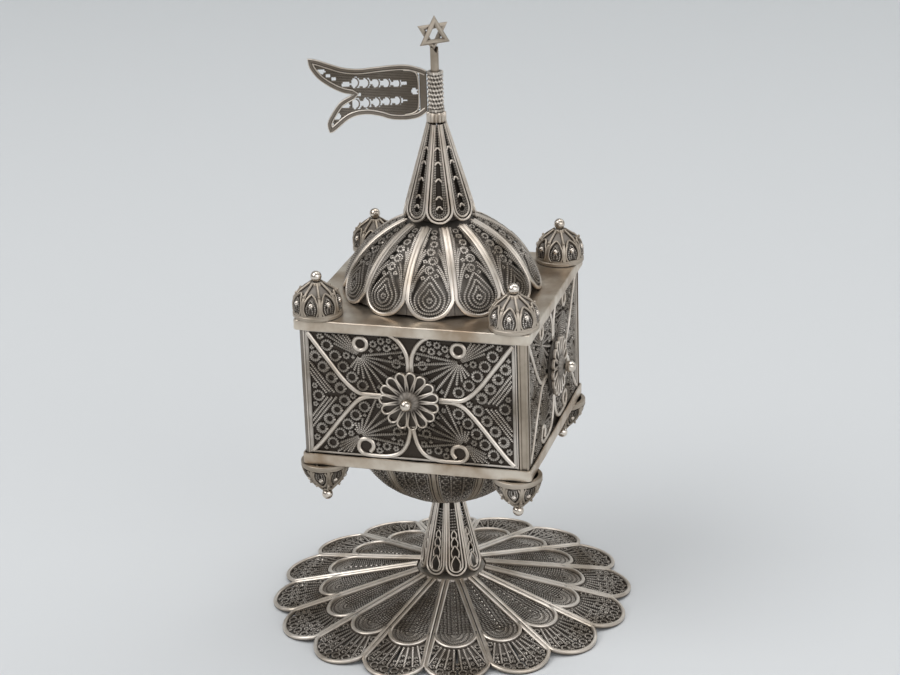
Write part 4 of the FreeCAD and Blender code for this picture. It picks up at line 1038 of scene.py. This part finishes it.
def leaf_layouts(width, top_width, slope, wires, arches):
    """Double flat frame of a leaf, with pointed arches in it, or with coils of twisted wire where it has none."""
    flat, fine = Layout(), Layout()
    strip = wires.leaf_strip

    def outline(inset):
        return leaf_outline(width, top_width, slope, inset)

    flat.flat([outline(strip / 2)], strip, LEAF_FRAME)
    flat.flat([outline(strip * 1.9 + 0.1)], strip * 0.85, 0.6)
    if not arches:
        coils = [even(outline(inset), 0.3) for inset in np.arange(1.36, width / 2 - 0.95, 0.42)]
        fine.twisted(coils, 0.42, 0.32, 0.05)
        for up in (4.0, 6.4, 10.6, 14.6, 18.0):
            flat.flat([smooth(arched([(-0.75, up - 0.5)], (0, up + 0.25)), 0.4)], 0.42, 0.62)
        return flat, fine
    inner = width / 2 - strip * 2.6
    start = width * 0.28
    for k in range(arches):
        size = 1 - 0.14 * k
        wide, tall = min(inner * 0.78, 1.5) * size, 3.6 * size
        half = [(-wide * 0.8, start), (-wide, start + tall * 0.45), (-wide * 0.4, start + tall * 0.85)]
        flat.flat([smooth(arched(half, (0, start + tall)), 0.3)], 0.34, 0.5)
        start += tall * 0.88
    inner += 0.2
    rungs = [even([(-inner, up), (inner, up)], 0.3) for up in np.arange(start + 0.4, slope - 2.0, 0.75)]
    fine.twisted(clipped(rungs, outline(strip * 2.4)), 0.4, 0.28, 0.05)
    return flat, fine


def leaf_ring(foot, neck, height, width, top_width, wires, turn, level, arches=0):
    """Ring of eight leaning leaves: its flat wire and its twisted wire."""
    lift, slope = leaf_lift(foot, neck, height, LEAF_PLATE - LEAF_FRAME)
    parts = leaf_layouts(width, top_width, slope, wires, arches)
    return [moved(around(part.mesh(lift), LEAVES, turn), (0, 0, level)) for part in parts]


class SPICE_OT_stem(Maker, bpy.types.Operator):
    """Fluted stem of eight leaves in double frames, with rows of pointed arches"""
    bl_idname = "spice.stem"
    bl_label = "Stem"

    def make(self, tower, wires):
        level, height = tower.stem_foot, tower.stem_height - 0.2
        flat, fine = leaf_ring(
            foot=7.0, neck=2.7, height=height, width=5.6, top_width=2.7, wires=wires, turn=-64, level=level, arches=4)
        # Dark core inside the leaves: painted shade.
        core = turned_profile([5.2, 4.0, 2.5, 2.0, 2.0, 0.01], [0.0, 4.0, 11.0, 16.0, height, height], 32)
        piece("stem_frames", flat, "polished_wire", nodes=["stem"])
        fill = joined([fine, shaded(moved(core, (0, 0, level)), 0.1)])
        piece("stem_filigree", fill, "filigree_wire", nodes=["stem"])


class SPICE_OT_spire(Maker, bpy.types.Operator):
    """Spire of eight leaves filled with fine coils, and the ribbed collar on it"""
    bl_idname = "spice.spire"
    bl_label = "Spire"

    def make(self, tower, wires):
        level, high = tower.spire_level, tower.collar_height
        flat, fine = leaf_ring(
            foot=8.0, neck=1.5, height=tower.spire_height, width=6.6, top_width=2.0, wires=wires, turn=-74, level=level)
        # Dark core inside the leaves: painted shade; the coils are darkened a little as well.
        core = turned_profile([7.2, 6.5, 1.75, 0.01], [0.4, 3.0, 21.0, 22.0], 32)
        collar = turned_profile(
            [1.2, 2.1, 2.42, 2.42, 2.1, 1.2], [0, 0.02, 0.35, high - 0.35, high - 0.02, high], 96, 14, 0.45)
        piece("spire_frames", flat, "polished_wire", nodes=["spire"])
        fill = joined([dulled(fine, 0.75), shaded(moved(core, (0, 0, level)), 0.06)])
        piece("spire_filigree", fill, "filigree_wire", nodes=["spire"])
        piece("spire_collar_ribs", moved(collar, (0, 0, tower.collar_level)), "polished_wire",
              nodes=["spire_collar"])


# Heights of a crown and its radius at each of them, for the round ones above and the pointed ones below.
CROWN_LEVELS = (0, 1.5, 3.2, 4.8, 6.2, 7.3, 8.2)
CROWN_ROUND = (6.0, 6.0, 6.0, 5.5, 4.3, 2.7, 1.5)
CROWN_CONE = (6.0, 6.0, 5.4, 4.4, 3.3, 2.2, 1.4)
CROWN_MIDDLE = 5.6


def crown_surface(radii):
    """One eighth of a crown, from millimetres across and the height."""
    def surface(line):
        radius = np.interp(line[:, 1], CROWN_LEVELS, radii) - 0.6
        angle = line[:, 0] / CROWN_MIDDLE
        return np.column_stack([radius * np.cos(angle), radius * np.sin(angle), line[:, 1]])
    return curved_lift(surface)


def crown_mesh(tower, radii):
    """Band, horseshoe arches with a grain in each, leaf-shaped strips between, hooks at the shoulder, and the cap."""
    lift = crown_surface(radii)
    flat, fine, leaf = Layout(), Layout(), Layout()
    for share, low, high in ((0.8, 1.35, 6.0), (0.5, 1.6, 5.0), (0.24, 1.9, 3.9)):
        wide = CROWN_MIDDLE * np.pi / CROWN_ARCHES * share
        half = [(-wide * 0.72, low), (-wide, low + 1.3), (-wide * 0.85, high - 1.3)]
        arch = smooth(arched(half, (0, high)), 0.4)
        if share == 0.8:
            flat.flat([arch], 0.42, 0.6)
        else:
            fine.twisted([even(arch, 0.23)], 0.44, 0.3, 0.08)
    for wide, low, high in ((1.0, 1.2, 3.0), (0.8, 2.8, 5.2), (0.5, 5.0, tower.crown_height - 0.3)):
        leaf.flat([even([(0, low), (0, high)], 0.6)], wide, 0.5)
    band = turned_profile([5.0, 5.9, 6.0, 6.0, 5.85, 5.85, 5.5, 5.2], [0.0, 0.0, 0.12, 0.8, 0.95, 1.3, 1.5, 1.2], 48)
    # Dark lining inside the arches: painted shade.
    lining = turned_profile(np.maximum(np.array(radii) - 0.75, 0.5), CROWN_LEVELS, 40)
    cap = turned_profile([0.5, 1.5, 1.7, 1.65, 1.2, 1.0, 0.01], [7.2, 7.25, 7.5, 7.8, 7.95, 8.2, 8.2], 24)
    hook_at, grain_at = (np.interp(level, CROWN_LEVELS, radii) for level in (5.6, 4.1))
    hooks = joined([
        moved(ball_mesh(0.5, 6, 10), (hook_at - 0.25, 0, 5.5)), moved(ball_mesh(0.34, 6, 8), (hook_at + 0.1, 0, 5.9))])
    grain = moved(ball_mesh(0.68, 8, 12), (grain_at - 0.34, 0, 3.9))
    count, between = CROWN_ARCHES, 180 / CROWN_ARCHES
    strips = [around(flat.mesh(lift), count), around(leaf.mesh(lift), count, between), band, cap]
    strips.append(around(hooks, count, between))
    return joined(strips), joined([around(fine.mesh(lift), count), shaded(lining, 0.2)]), around(grain, count)


class SPICE_OT_crowns(Maker, bpy.types.Operator):
    """Eight crowns on the trays' corners, upright above and upside down below, each with its ball"""
    bl_idname = "spice.crowns"
    bl_label = "Crowns"

    def make(self, tower, wires):
        ball = ball_mesh(tower.crown_ball)
        rise = tower.crown_height + tower.crown_ball * 0.951
        for level, seat, sign, radii in (
                ("upper", tower.roof_level, 1, CROWN_ROUND), ("lower", tower.bowl_level, -1, CROWN_CONE)):
            meshes = crown_mesh(tower, radii)
            for corner, (x, y) in CORNERS.items():
                spot = (x * tower.crown_inset, y * tower.crown_inset, seat)
                name = f"{level}_crown_{corner}"
                for part, look, mesh in zip(
                        ("wires", "lining", "grains"), ("worn_wire", "filigree_wire", "bright_bead"), meshes):
                    piece(f"{name}_{part}", moved(mesh, spot, CROWN_TURN, sign < 0), look, nodes=[name])
                piece(f"{level}_bead_{corner}", moved(ball, (*spot[:2], seat + sign * rise)), "bright_bead",
                      nodes=[f"{level}_ball_{corner}"])


def star_mesh(side, strip, plate, up, offset, turn, edge=0.34):
    """One triangle of the star: three corners, mitred, with softened edges."""
    rings = []
    for inset, depth in (
            (edge, 0), (0, edge), (0, plate - edge), (edge, plate),
            (strip - edge, plate), (strip, plate - edge), (strip, edge), (strip - edge, 0)):
        radius = side / 3 ** 0.5 - 2 * inset
        angles = np.radians(90 * up + np.array([0, 120, 240]))
        rings.append(np.column_stack([radius * np.cos(angles), np.full(3, depth), radius * np.sin(angles)]))
    points, faces, shares = grid_mesh(np.array(rings), wrap_along=True)
    points = points * (1, -1, 1) - (0, offset, 0)
    return points @ rotation(turn).T, faces, shares


class SPICE_OT_star(Maker, bpy.types.Operator):
    """Six-pointed star of two stacked triangles of wire on the rod's fork"""
    bl_idname = "spice.star"
    bl_label = "Star"

    def make(self, tower, wires):
        level = tower.rod_top - 1.3 + tower.star_side / 3 ** 0.5
        for name, up, offset in (("star_front", 1, 0.0), ("star_back", -1, -1.0)):
            mesh = star_mesh(tower.star_side, tower.star_strip, 1.0, up, offset, STAR_TURN)
            piece(f"{name}_wire", moved(mesh, (0, 0, level)), "worn_wire", nodes=[name])


# Outline of the flag, from the middle of the sleeve: its upper and lower edge, and the notch between its tails.
FLAG_TOP = (
    (2.1, 4.9), (3.6, 5.6), (6.5, 6.4), (10.1, 6.45), (14.5, 6.1), (18.1, 5.8), (21.7, 6.2), (25.3, 7.4), (28.1, 8.4),
    (29.9, 8.7))
FLAG_LOW = (
    (2.1, -4.9), (4.1, -6.2), (7.0, -6.7), (10.6, -6.5), (13.5, -5.6), (16.4, -5.1), (19.0, -5.4), (21.2, -6.4),
    (23.5, -8.3), (25.2, -9.6))
TAIL_LOW = ((25.5, -9.4), (25.9, -7.2), (24.6, -4.6), (22.8, -2.2), (20.9, -1.0), (19.3, -0.2))
TAIL_TOP = ((19.3, -0.2), (22.0, 0.4), (24.8, 1.8), (27.6, 3.9), (29.4, 6.4), (29.9, 8.4))
FLAG_ROOT = ((7.5, 5.3), (5.2, 5.0), (4.2, 3.8), (4.0, 0.0), (4.2, -3.8), (5.2, -5.1), (7.5, -5.6))
# Two rows of five crescents, and the voids round them: centre and half sizes.
CRESCENTS = [(k, sign) for k in range(5) for sign in (1, -1)]
FLAG_VOIDS = [(9.0 + 2.45 * k, sign * (2.1 + 0.12 * k), 1.02, 0.95 + 0.1 * k) for k, sign in CRESCENTS] + [
    (7.2, 2.1, 0.4, 0.35), (7.2, -2.1, 0.4, 0.35), (5.0, 0.0, 0.55, 0.8), (20.4, 0.3, 0.7, 0.6),
    (18.2, -0.4, 0.4, 0.35), (21.2, 2.2, 0.9, 0.7), (21.6, -2.9, 1.1, 0.8), (24.0, 3.6, 0.4, 0.4),
    (25.3, 4.6, 0.4, 0.4), (27.0, 5.6, 1.0, 0.55), (23.6, -5.5, 0.9, 0.7), (24.8, -7.6, 0.35, 0.35)]


def flag_layouts(wires):
    """Flag: a heavy rim with a bright edge in it, a rounded root, and close fill with two rows of crescent voids."""
    rim, edge, fine = Layout(), Layout(), Layout()
    top, *rest = (smooth(line, 0.6) for line in (FLAG_TOP, TAIL_TOP[::-1], TAIL_LOW[::-1], FLAG_LOW[::-1]))
    outline = np.vstack([top] + [line[1:] for line in rest])
    rim.flat([beside(outline, -0.4)], 0.8, 0.8)
    rim.flat([even([(2.9, -5.0), (2.9, 5.0)], 1.0)], 1.7, 0.62, 0.08)
    edge.flat([outline], 0.2, 0.78, 0.01)
    field = beside(outline, -0.75)
    edge.flat(clipped([beside(outline, -0.98), smooth(FLAG_ROOT, 0.4)], field), 0.3, 0.76, 0.02)
    step = wires.twist_step
    rows = enumerate(np.arange(-9.7, 8.8, 0.4))
    lines = [even([(3.9 + step * (k % 2), v), (30.0, v)], step) for k, v in rows]
    fine.twisted(clipped(lines, field, 0.5, FLAG_VOIDS), 0.52, 0.44, 0.14)
    arcs = [circle((9.6 + 2.45 * k, sign * (2.1 + 0.12 * k)), 1.25, 0.23, 110, 140) for k, sign in CRESCENTS]
    fine.twisted(arcs, 0.4, 0.3, 0.2)
    return rim, edge, fine


class SPICE_OT_vane(Maker, bpy.types.Operator):
    """Vane that turns on the rod: beaded sleeve and swallow-tailed filigree flag"""
    bl_idname = "spice.vane"
    bl_label = "Vane"

    def make(self, tower, wires):
        high = tower.sleeve_height
        levels = np.linspace(0.7, high - 0.7, 90)
        rows = 1.86 + 0.16 * np.cos(levels * 2 * np.pi / 1.05)
        radii = np.r_[1.06, 1.95, 2.04, 2.04, 1.8, rows, 1.8, 2.04, 2.04, 1.95, 1.06, 1.06]
        heights = np.r_[0, 0, 0.05, 0.6, 0.66, levels, high - 0.66, high - 0.6, high - 0.05, high, high, 0]
        points, faces, _ = turned_profile(radii, heights, 84, 14, 0.26, 171.0)
        # Painted shade: the grooves between the beads darken towards the axis.
        sleeve = points, faces, np.clip((np.hypot(points[:, 0], points[:, 1]) - 1.5) / 0.6, 0, 1)
        piece("vane_sleeve_beads", moved(sleeve, (0, 0, tower.sleeve_foot)), "filigree_wire", "vane",
              ["vane_sleeve"])
        turn = rotation(tower.vane_turn)
        along, side = turn @ (1, 0, 0), turn @ (0, 1, 0)
        middle = np.array((0, 0, tower.sleeve_foot + high / 2))
        lift = plane_lift(middle - side * 0.4, along, (0, 0, 1), side)
        rim, edge, fine = (layout.mesh(lift) for layout in flag_layouts(wires))
        piece("vane_flag_edges", shaded(edge, 1.0), "polished_wire", "vane", ["vane_flag"])
        fill = joined([shaded(rim, 0.26), shaded(fine, 0.34)])
        piece("vane_flag_filigree", fill, "worn_wire", "vane", ["vane_flag"])


def square_ring(half, corner, sides=18, bends=5):
    """Rounded square round the upright axis, as points in the plane."""
    bend = np.radians(np.linspace(0, 90, bends))
    arc = np.column_stack([half - corner + corner * np.cos(bend), half - corner + corner * np.sin(bend)])
    reach = half - corner
    run = np.column_stack([np.full(sides, half), np.linspace(-reach, reach, sides + 2)[1:-1]])
    quarter = np.vstack([run, arc])
    return np.vstack([quarter @ rotation(90 * k)[:2, :2].T for k in range(4)])


def tray_mesh(half, rim, wall, sheet):
    """Tray with its open side down: rounded rim that wavers as hand work does, and dark inside as painted shade.

    The rim's inset is a sum of two sines of the way round, so no two stretches of its edge are alike.
    """
    top, over = rim - sheet, rim - 0.06
    # Rows: inset, level and share of painted light; the first three, inside the tray, are painted shade.
    rows = (
        (half - 0.1, top, 0.1), (wall, top, 0.12), (wall, 0.12, 0.4), (wall * 0.7, 0.0, 1), (0.22, 0.0, 1),
        (0.05, 0.08, 1), (0.0, 0.3, 1), (0.03, rim * 0.5, 1), (0.0, rim - 0.5, 1), (0.05, rim - 0.2, 1),
        (0.25, rim - 0.03, 1), (0.6, rim - 0.05, 1), (1.2, over, 1), (half * 0.35, over, 1), (half * 0.7, over, 1),
        (half - 0.1, over, 1))
    rings, shares = [], []
    for inset, level, share in rows:
        ring = square_ring(half - inset, max(0.05, min(0.9, half - inset)))
        way = np.arange(len(ring)) / len(ring) * 2 * np.pi
        waver = 0.03 * (2 + np.sin(7 * way + 1) + np.sin(17 * way + level)) * (inset < wall * 0.8)
        dip = 0.03 * np.sin(5 * way) * (0.3 < level < rim - 0.3)
        rings.append(np.column_stack([ring * (1 - waver / half)[:, None], level - dip]))
        shares.append(np.full(len(ring), float(share)))
    points, faces, _ = grid_mesh(np.array(rings))
    return points, faces, np.concatenate(shares)


class SPICE_OT_plain(Maker, bpy.types.Operator):
    """Trays with rounded rims, and the finish of the plain pieces: posts, hinge pin and rod"""
    bl_idname = "spice.plain"
    bl_label = "Trays and plain pieces"

    def make(self, tower, wires):
        for name, half, rim, level, flip in (
                ("upper_tray", 29.0, 2.6, 82.1, False), ("lower_tray", 28.5, 2.9, 50.0, True)):
            sheet = moved(tray_mesh(half, rim, wall=0.5, sheet=0.8), (0, 0, level), flip=flip)
            piece(f"{name}_sheet", sheet, "tray_sheet", nodes=[name])
        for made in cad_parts.values():
            if not made.hide_render:
                made.data.materials.clear()
                made.data.materials.append(finish("drawn_bar"))


def added(name, data):
    """A new object with the given data, in the scene."""
    made = bpy.data.objects.new(name, data)
    bpy.context.collection.objects.link(made)
    return made


def floor(tone):
    """Floor that rises behind the tower; its colour darkens where it rises, as painted shade."""
    run = np.array([-4.0, -1.0, 0.9, 1.25, 1.4, 1.42])[:, None]
    rise = np.array([0.0, 0.0, 0.0, 0.12, 0.5, 3.0])[:, None]
    grid = np.stack(np.broadcast_arrays(np.linspace(-4, 4, 5), run, rise), axis=-1)
    points, faces, _ = grid_mesh(grid / MM, wrap_across=False)
    data = bpy.data.meshes.new("floor")
    data.from_pydata((points * MM).tolist(), [], faces.tolist())
    data.polygons.foreach_set("use_smooth", np.ones(len(faces), bool))
    material = bpy.data.materials.new("pale_floor")
    material.use_nodes = True
    tree = material.node_tree
    shader = tree.nodes["Principled BSDF"]
    # Painted shade: the colour darkens towards the back, where the floor rises.
    far = add_node(tree, "SeparateXYZ", {0: add_node(tree, "TexCoord").outputs["Object"]}).outputs["Y"]
    share = add_node(tree, "MapRange", {
        "Value": far, "From Min": -0.1, "From Max": 1.2}, interpolation_type="SMOOTHSTEP").outputs[0]
    tree.links.new(mixed(tree, share, tone.floor, tone.backdrop), shader.inputs["Base Color"])
    shader.inputs["Roughness"].default_value = 0.85
    shader.inputs["Specular IOR Level"].default_value = 0.2
    data.materials.append(material)
    added("floor", data)


def lamps():
    """Four round area lamps, aimed at the tower."""
    for name, spot, wide, power in (
            ("key", (-1.1, -1.0, 1.7), 1.7, 17.0), ("fill", (1.5, -1.2, 1.0), 1.6, 7.0),
            ("top", (0.2, 0.3, 2.2), 1.5, 13.0), ("rim", (1.0, 1.0, 1.3), 1.3, 5.0)):
        lamp = bpy.data.lights.new(name, "AREA")
        lamp.shape, lamp.size, lamp.energy = "DISK", wide, power
        back = np.array(spot) - (0, 0, 0.07)
        z = back / np.linalg.norm(back)
        x = np.cross((0, 0, 1), z)
        x /= np.linalg.norm(x)
        added(name, lamp).matrix_world = placed(x, np.cross(z, x), z, spot)


def room():
    """Even grey light; shiny metal sees soft light and dark cards in it instead."""
    world = bpy.data.worlds.new("soft_room")
    world.use_nodes = True
    tree = world.node_tree
    place = add_node(tree, "TexCoord").outputs["Generated"]
    cloud = add_node(tree, "TexNoise", {"Vector": place, "Scale": 1.7, "Detail": 1.0}).outputs["Fac"]
    cards = ranged(tree, cloud, 0.43, 0.57, 0.1, 1.28)
    glossy = add_node(tree, "LightPath").outputs["Is Glossy Ray"]
    seen = add_node(tree, "Mix", {0: glossy, 2: 0.6, 3: cards})
    tree.nodes["Background"].inputs["Color"].default_value = (0.8, 0.81, 0.83, 1)
    tree.links.new(seen.outputs[0], tree.nodes["Background"].inputs["Strength"])
    bpy.context.scene.world = world


class SPICE_OT_stage(Maker, bpy.types.Operator):
    """Pale floor and backdrop, soft studio lights and the camera"""
    bl_idname = "spice.stage"
    bl_label = "Stage"

    def make(self, tower, wires):
        tone = sizes("spice_finish")
        floor(tone)
        lamps()
        room()
        bpy.context.scene.view_settings.view_transform = "Standard"
        camera(tower.roof_level, tone.lens)


def placed(x, y, z, spot):
    """Matrix with the given axes as columns, at a spot."""
    matrix = np.eye(4)
    matrix[:3, 0], matrix[:3, 1], matrix[:3, 2], matrix[:3, 3] = x, y, z, spot
    return Matrix(matrix.tolist())


# Camera fitted to the photograph: degrees from the front, above the level and about its axis, and millimetres.
AZIMUTH, ELEVATION, ROLL = 15.87, 21.18, -1.86
DISTANCE, SHIFT_RIGHT, SHIFT_UP = 588.7, 1.94, -12.6


def camera(level, lens):
    """Camera that looks along its fitted direction, from a distance measured from the roof's middle."""
    a, e, r = np.radians((AZIMUTH, ELEVATION, ROLL))
    back = np.array((np.sin(a) * np.cos(e), -np.cos(a) * np.cos(e), np.sin(e)))
    right = np.array((np.cos(a), np.sin(a), 0))
    up = np.cross(back, right)
    x = right * np.cos(r) + up * np.sin(r)
    y = up * np.cos(r) - right * np.sin(r)
    spot = (np.array((0, 0, level)) + back * DISTANCE + x * SHIFT_RIGHT + y * SHIFT_UP) * MM
    data = bpy.data.cameras.new("camera")
    data.lens, data.sensor_width = lens, 36
    data.clip_start, data.clip_end = 0.01, 20
    made = added("camera", data)
    made.matrix_world = placed(x, y, back, spot)
    bpy.context.scene.camera = made


class SPICE_PT_panel(bpy.types.Panel):
    """Panel with the tower's sizes and the buttons that make its pieces"""
    bl_label = "Spice tower"
    bl_idname = "SPICE_PT_panel"
    bl_space_type = "VIEW_3D"
    bl_region_type = "UI"
    bl_category = "Spice tower"

    def draw(self, context):
        for operator in OPERATORS:
            self.layout.operator(operator.bl_idname)
        for group in ("spice_tower", "spice_wires", "spice_finish"):
            properties = getattr(context.scene, group)
            for key in properties.__annotations__:
                self.layout.prop(properties, key)


OPERATORS = (
    SPICE_OT_foot, SPICE_OT_stem, SPICE_OT_bowl, SPICE_OT_walls, SPICE_OT_door, SPICE_OT_rosettes, SPICE_OT_crowns,
    SPICE_OT_dome, SPICE_OT_spire, SPICE_OT_star, SPICE_OT_vane, SPICE_OT_plain, SPICE_OT_stage)
GROUPS = {"spice_tower": SpiceTower, "spice_wires": SpiceWires, "spice_finish": SpiceFinish}


def register():
    for kind in (*GROUPS.values(), *OPERATORS, SPICE_PT_panel):
        bpy.utils.register_class(kind)
    for name, group in GROUPS.items():
        setattr(bpy.types.Scene, name, PointerProperty(type=group))


def unregister():
    for name in GROUPS:
        delattr(bpy.types.Scene, name)
    for kind in (SPICE_PT_panel, *OPERATORS[::-1], *GROUPS.values()):
        bpy.utils.unregister_class(kind)


def main():
    """Registers the add-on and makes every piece."""
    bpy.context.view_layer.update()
    register()
    for operator in OPERATORS:
        group, name = operator.bl_idname.split(".")
        getattr(getattr(bpy.ops, group), name)()


if __name__ == "__main__":
    main()
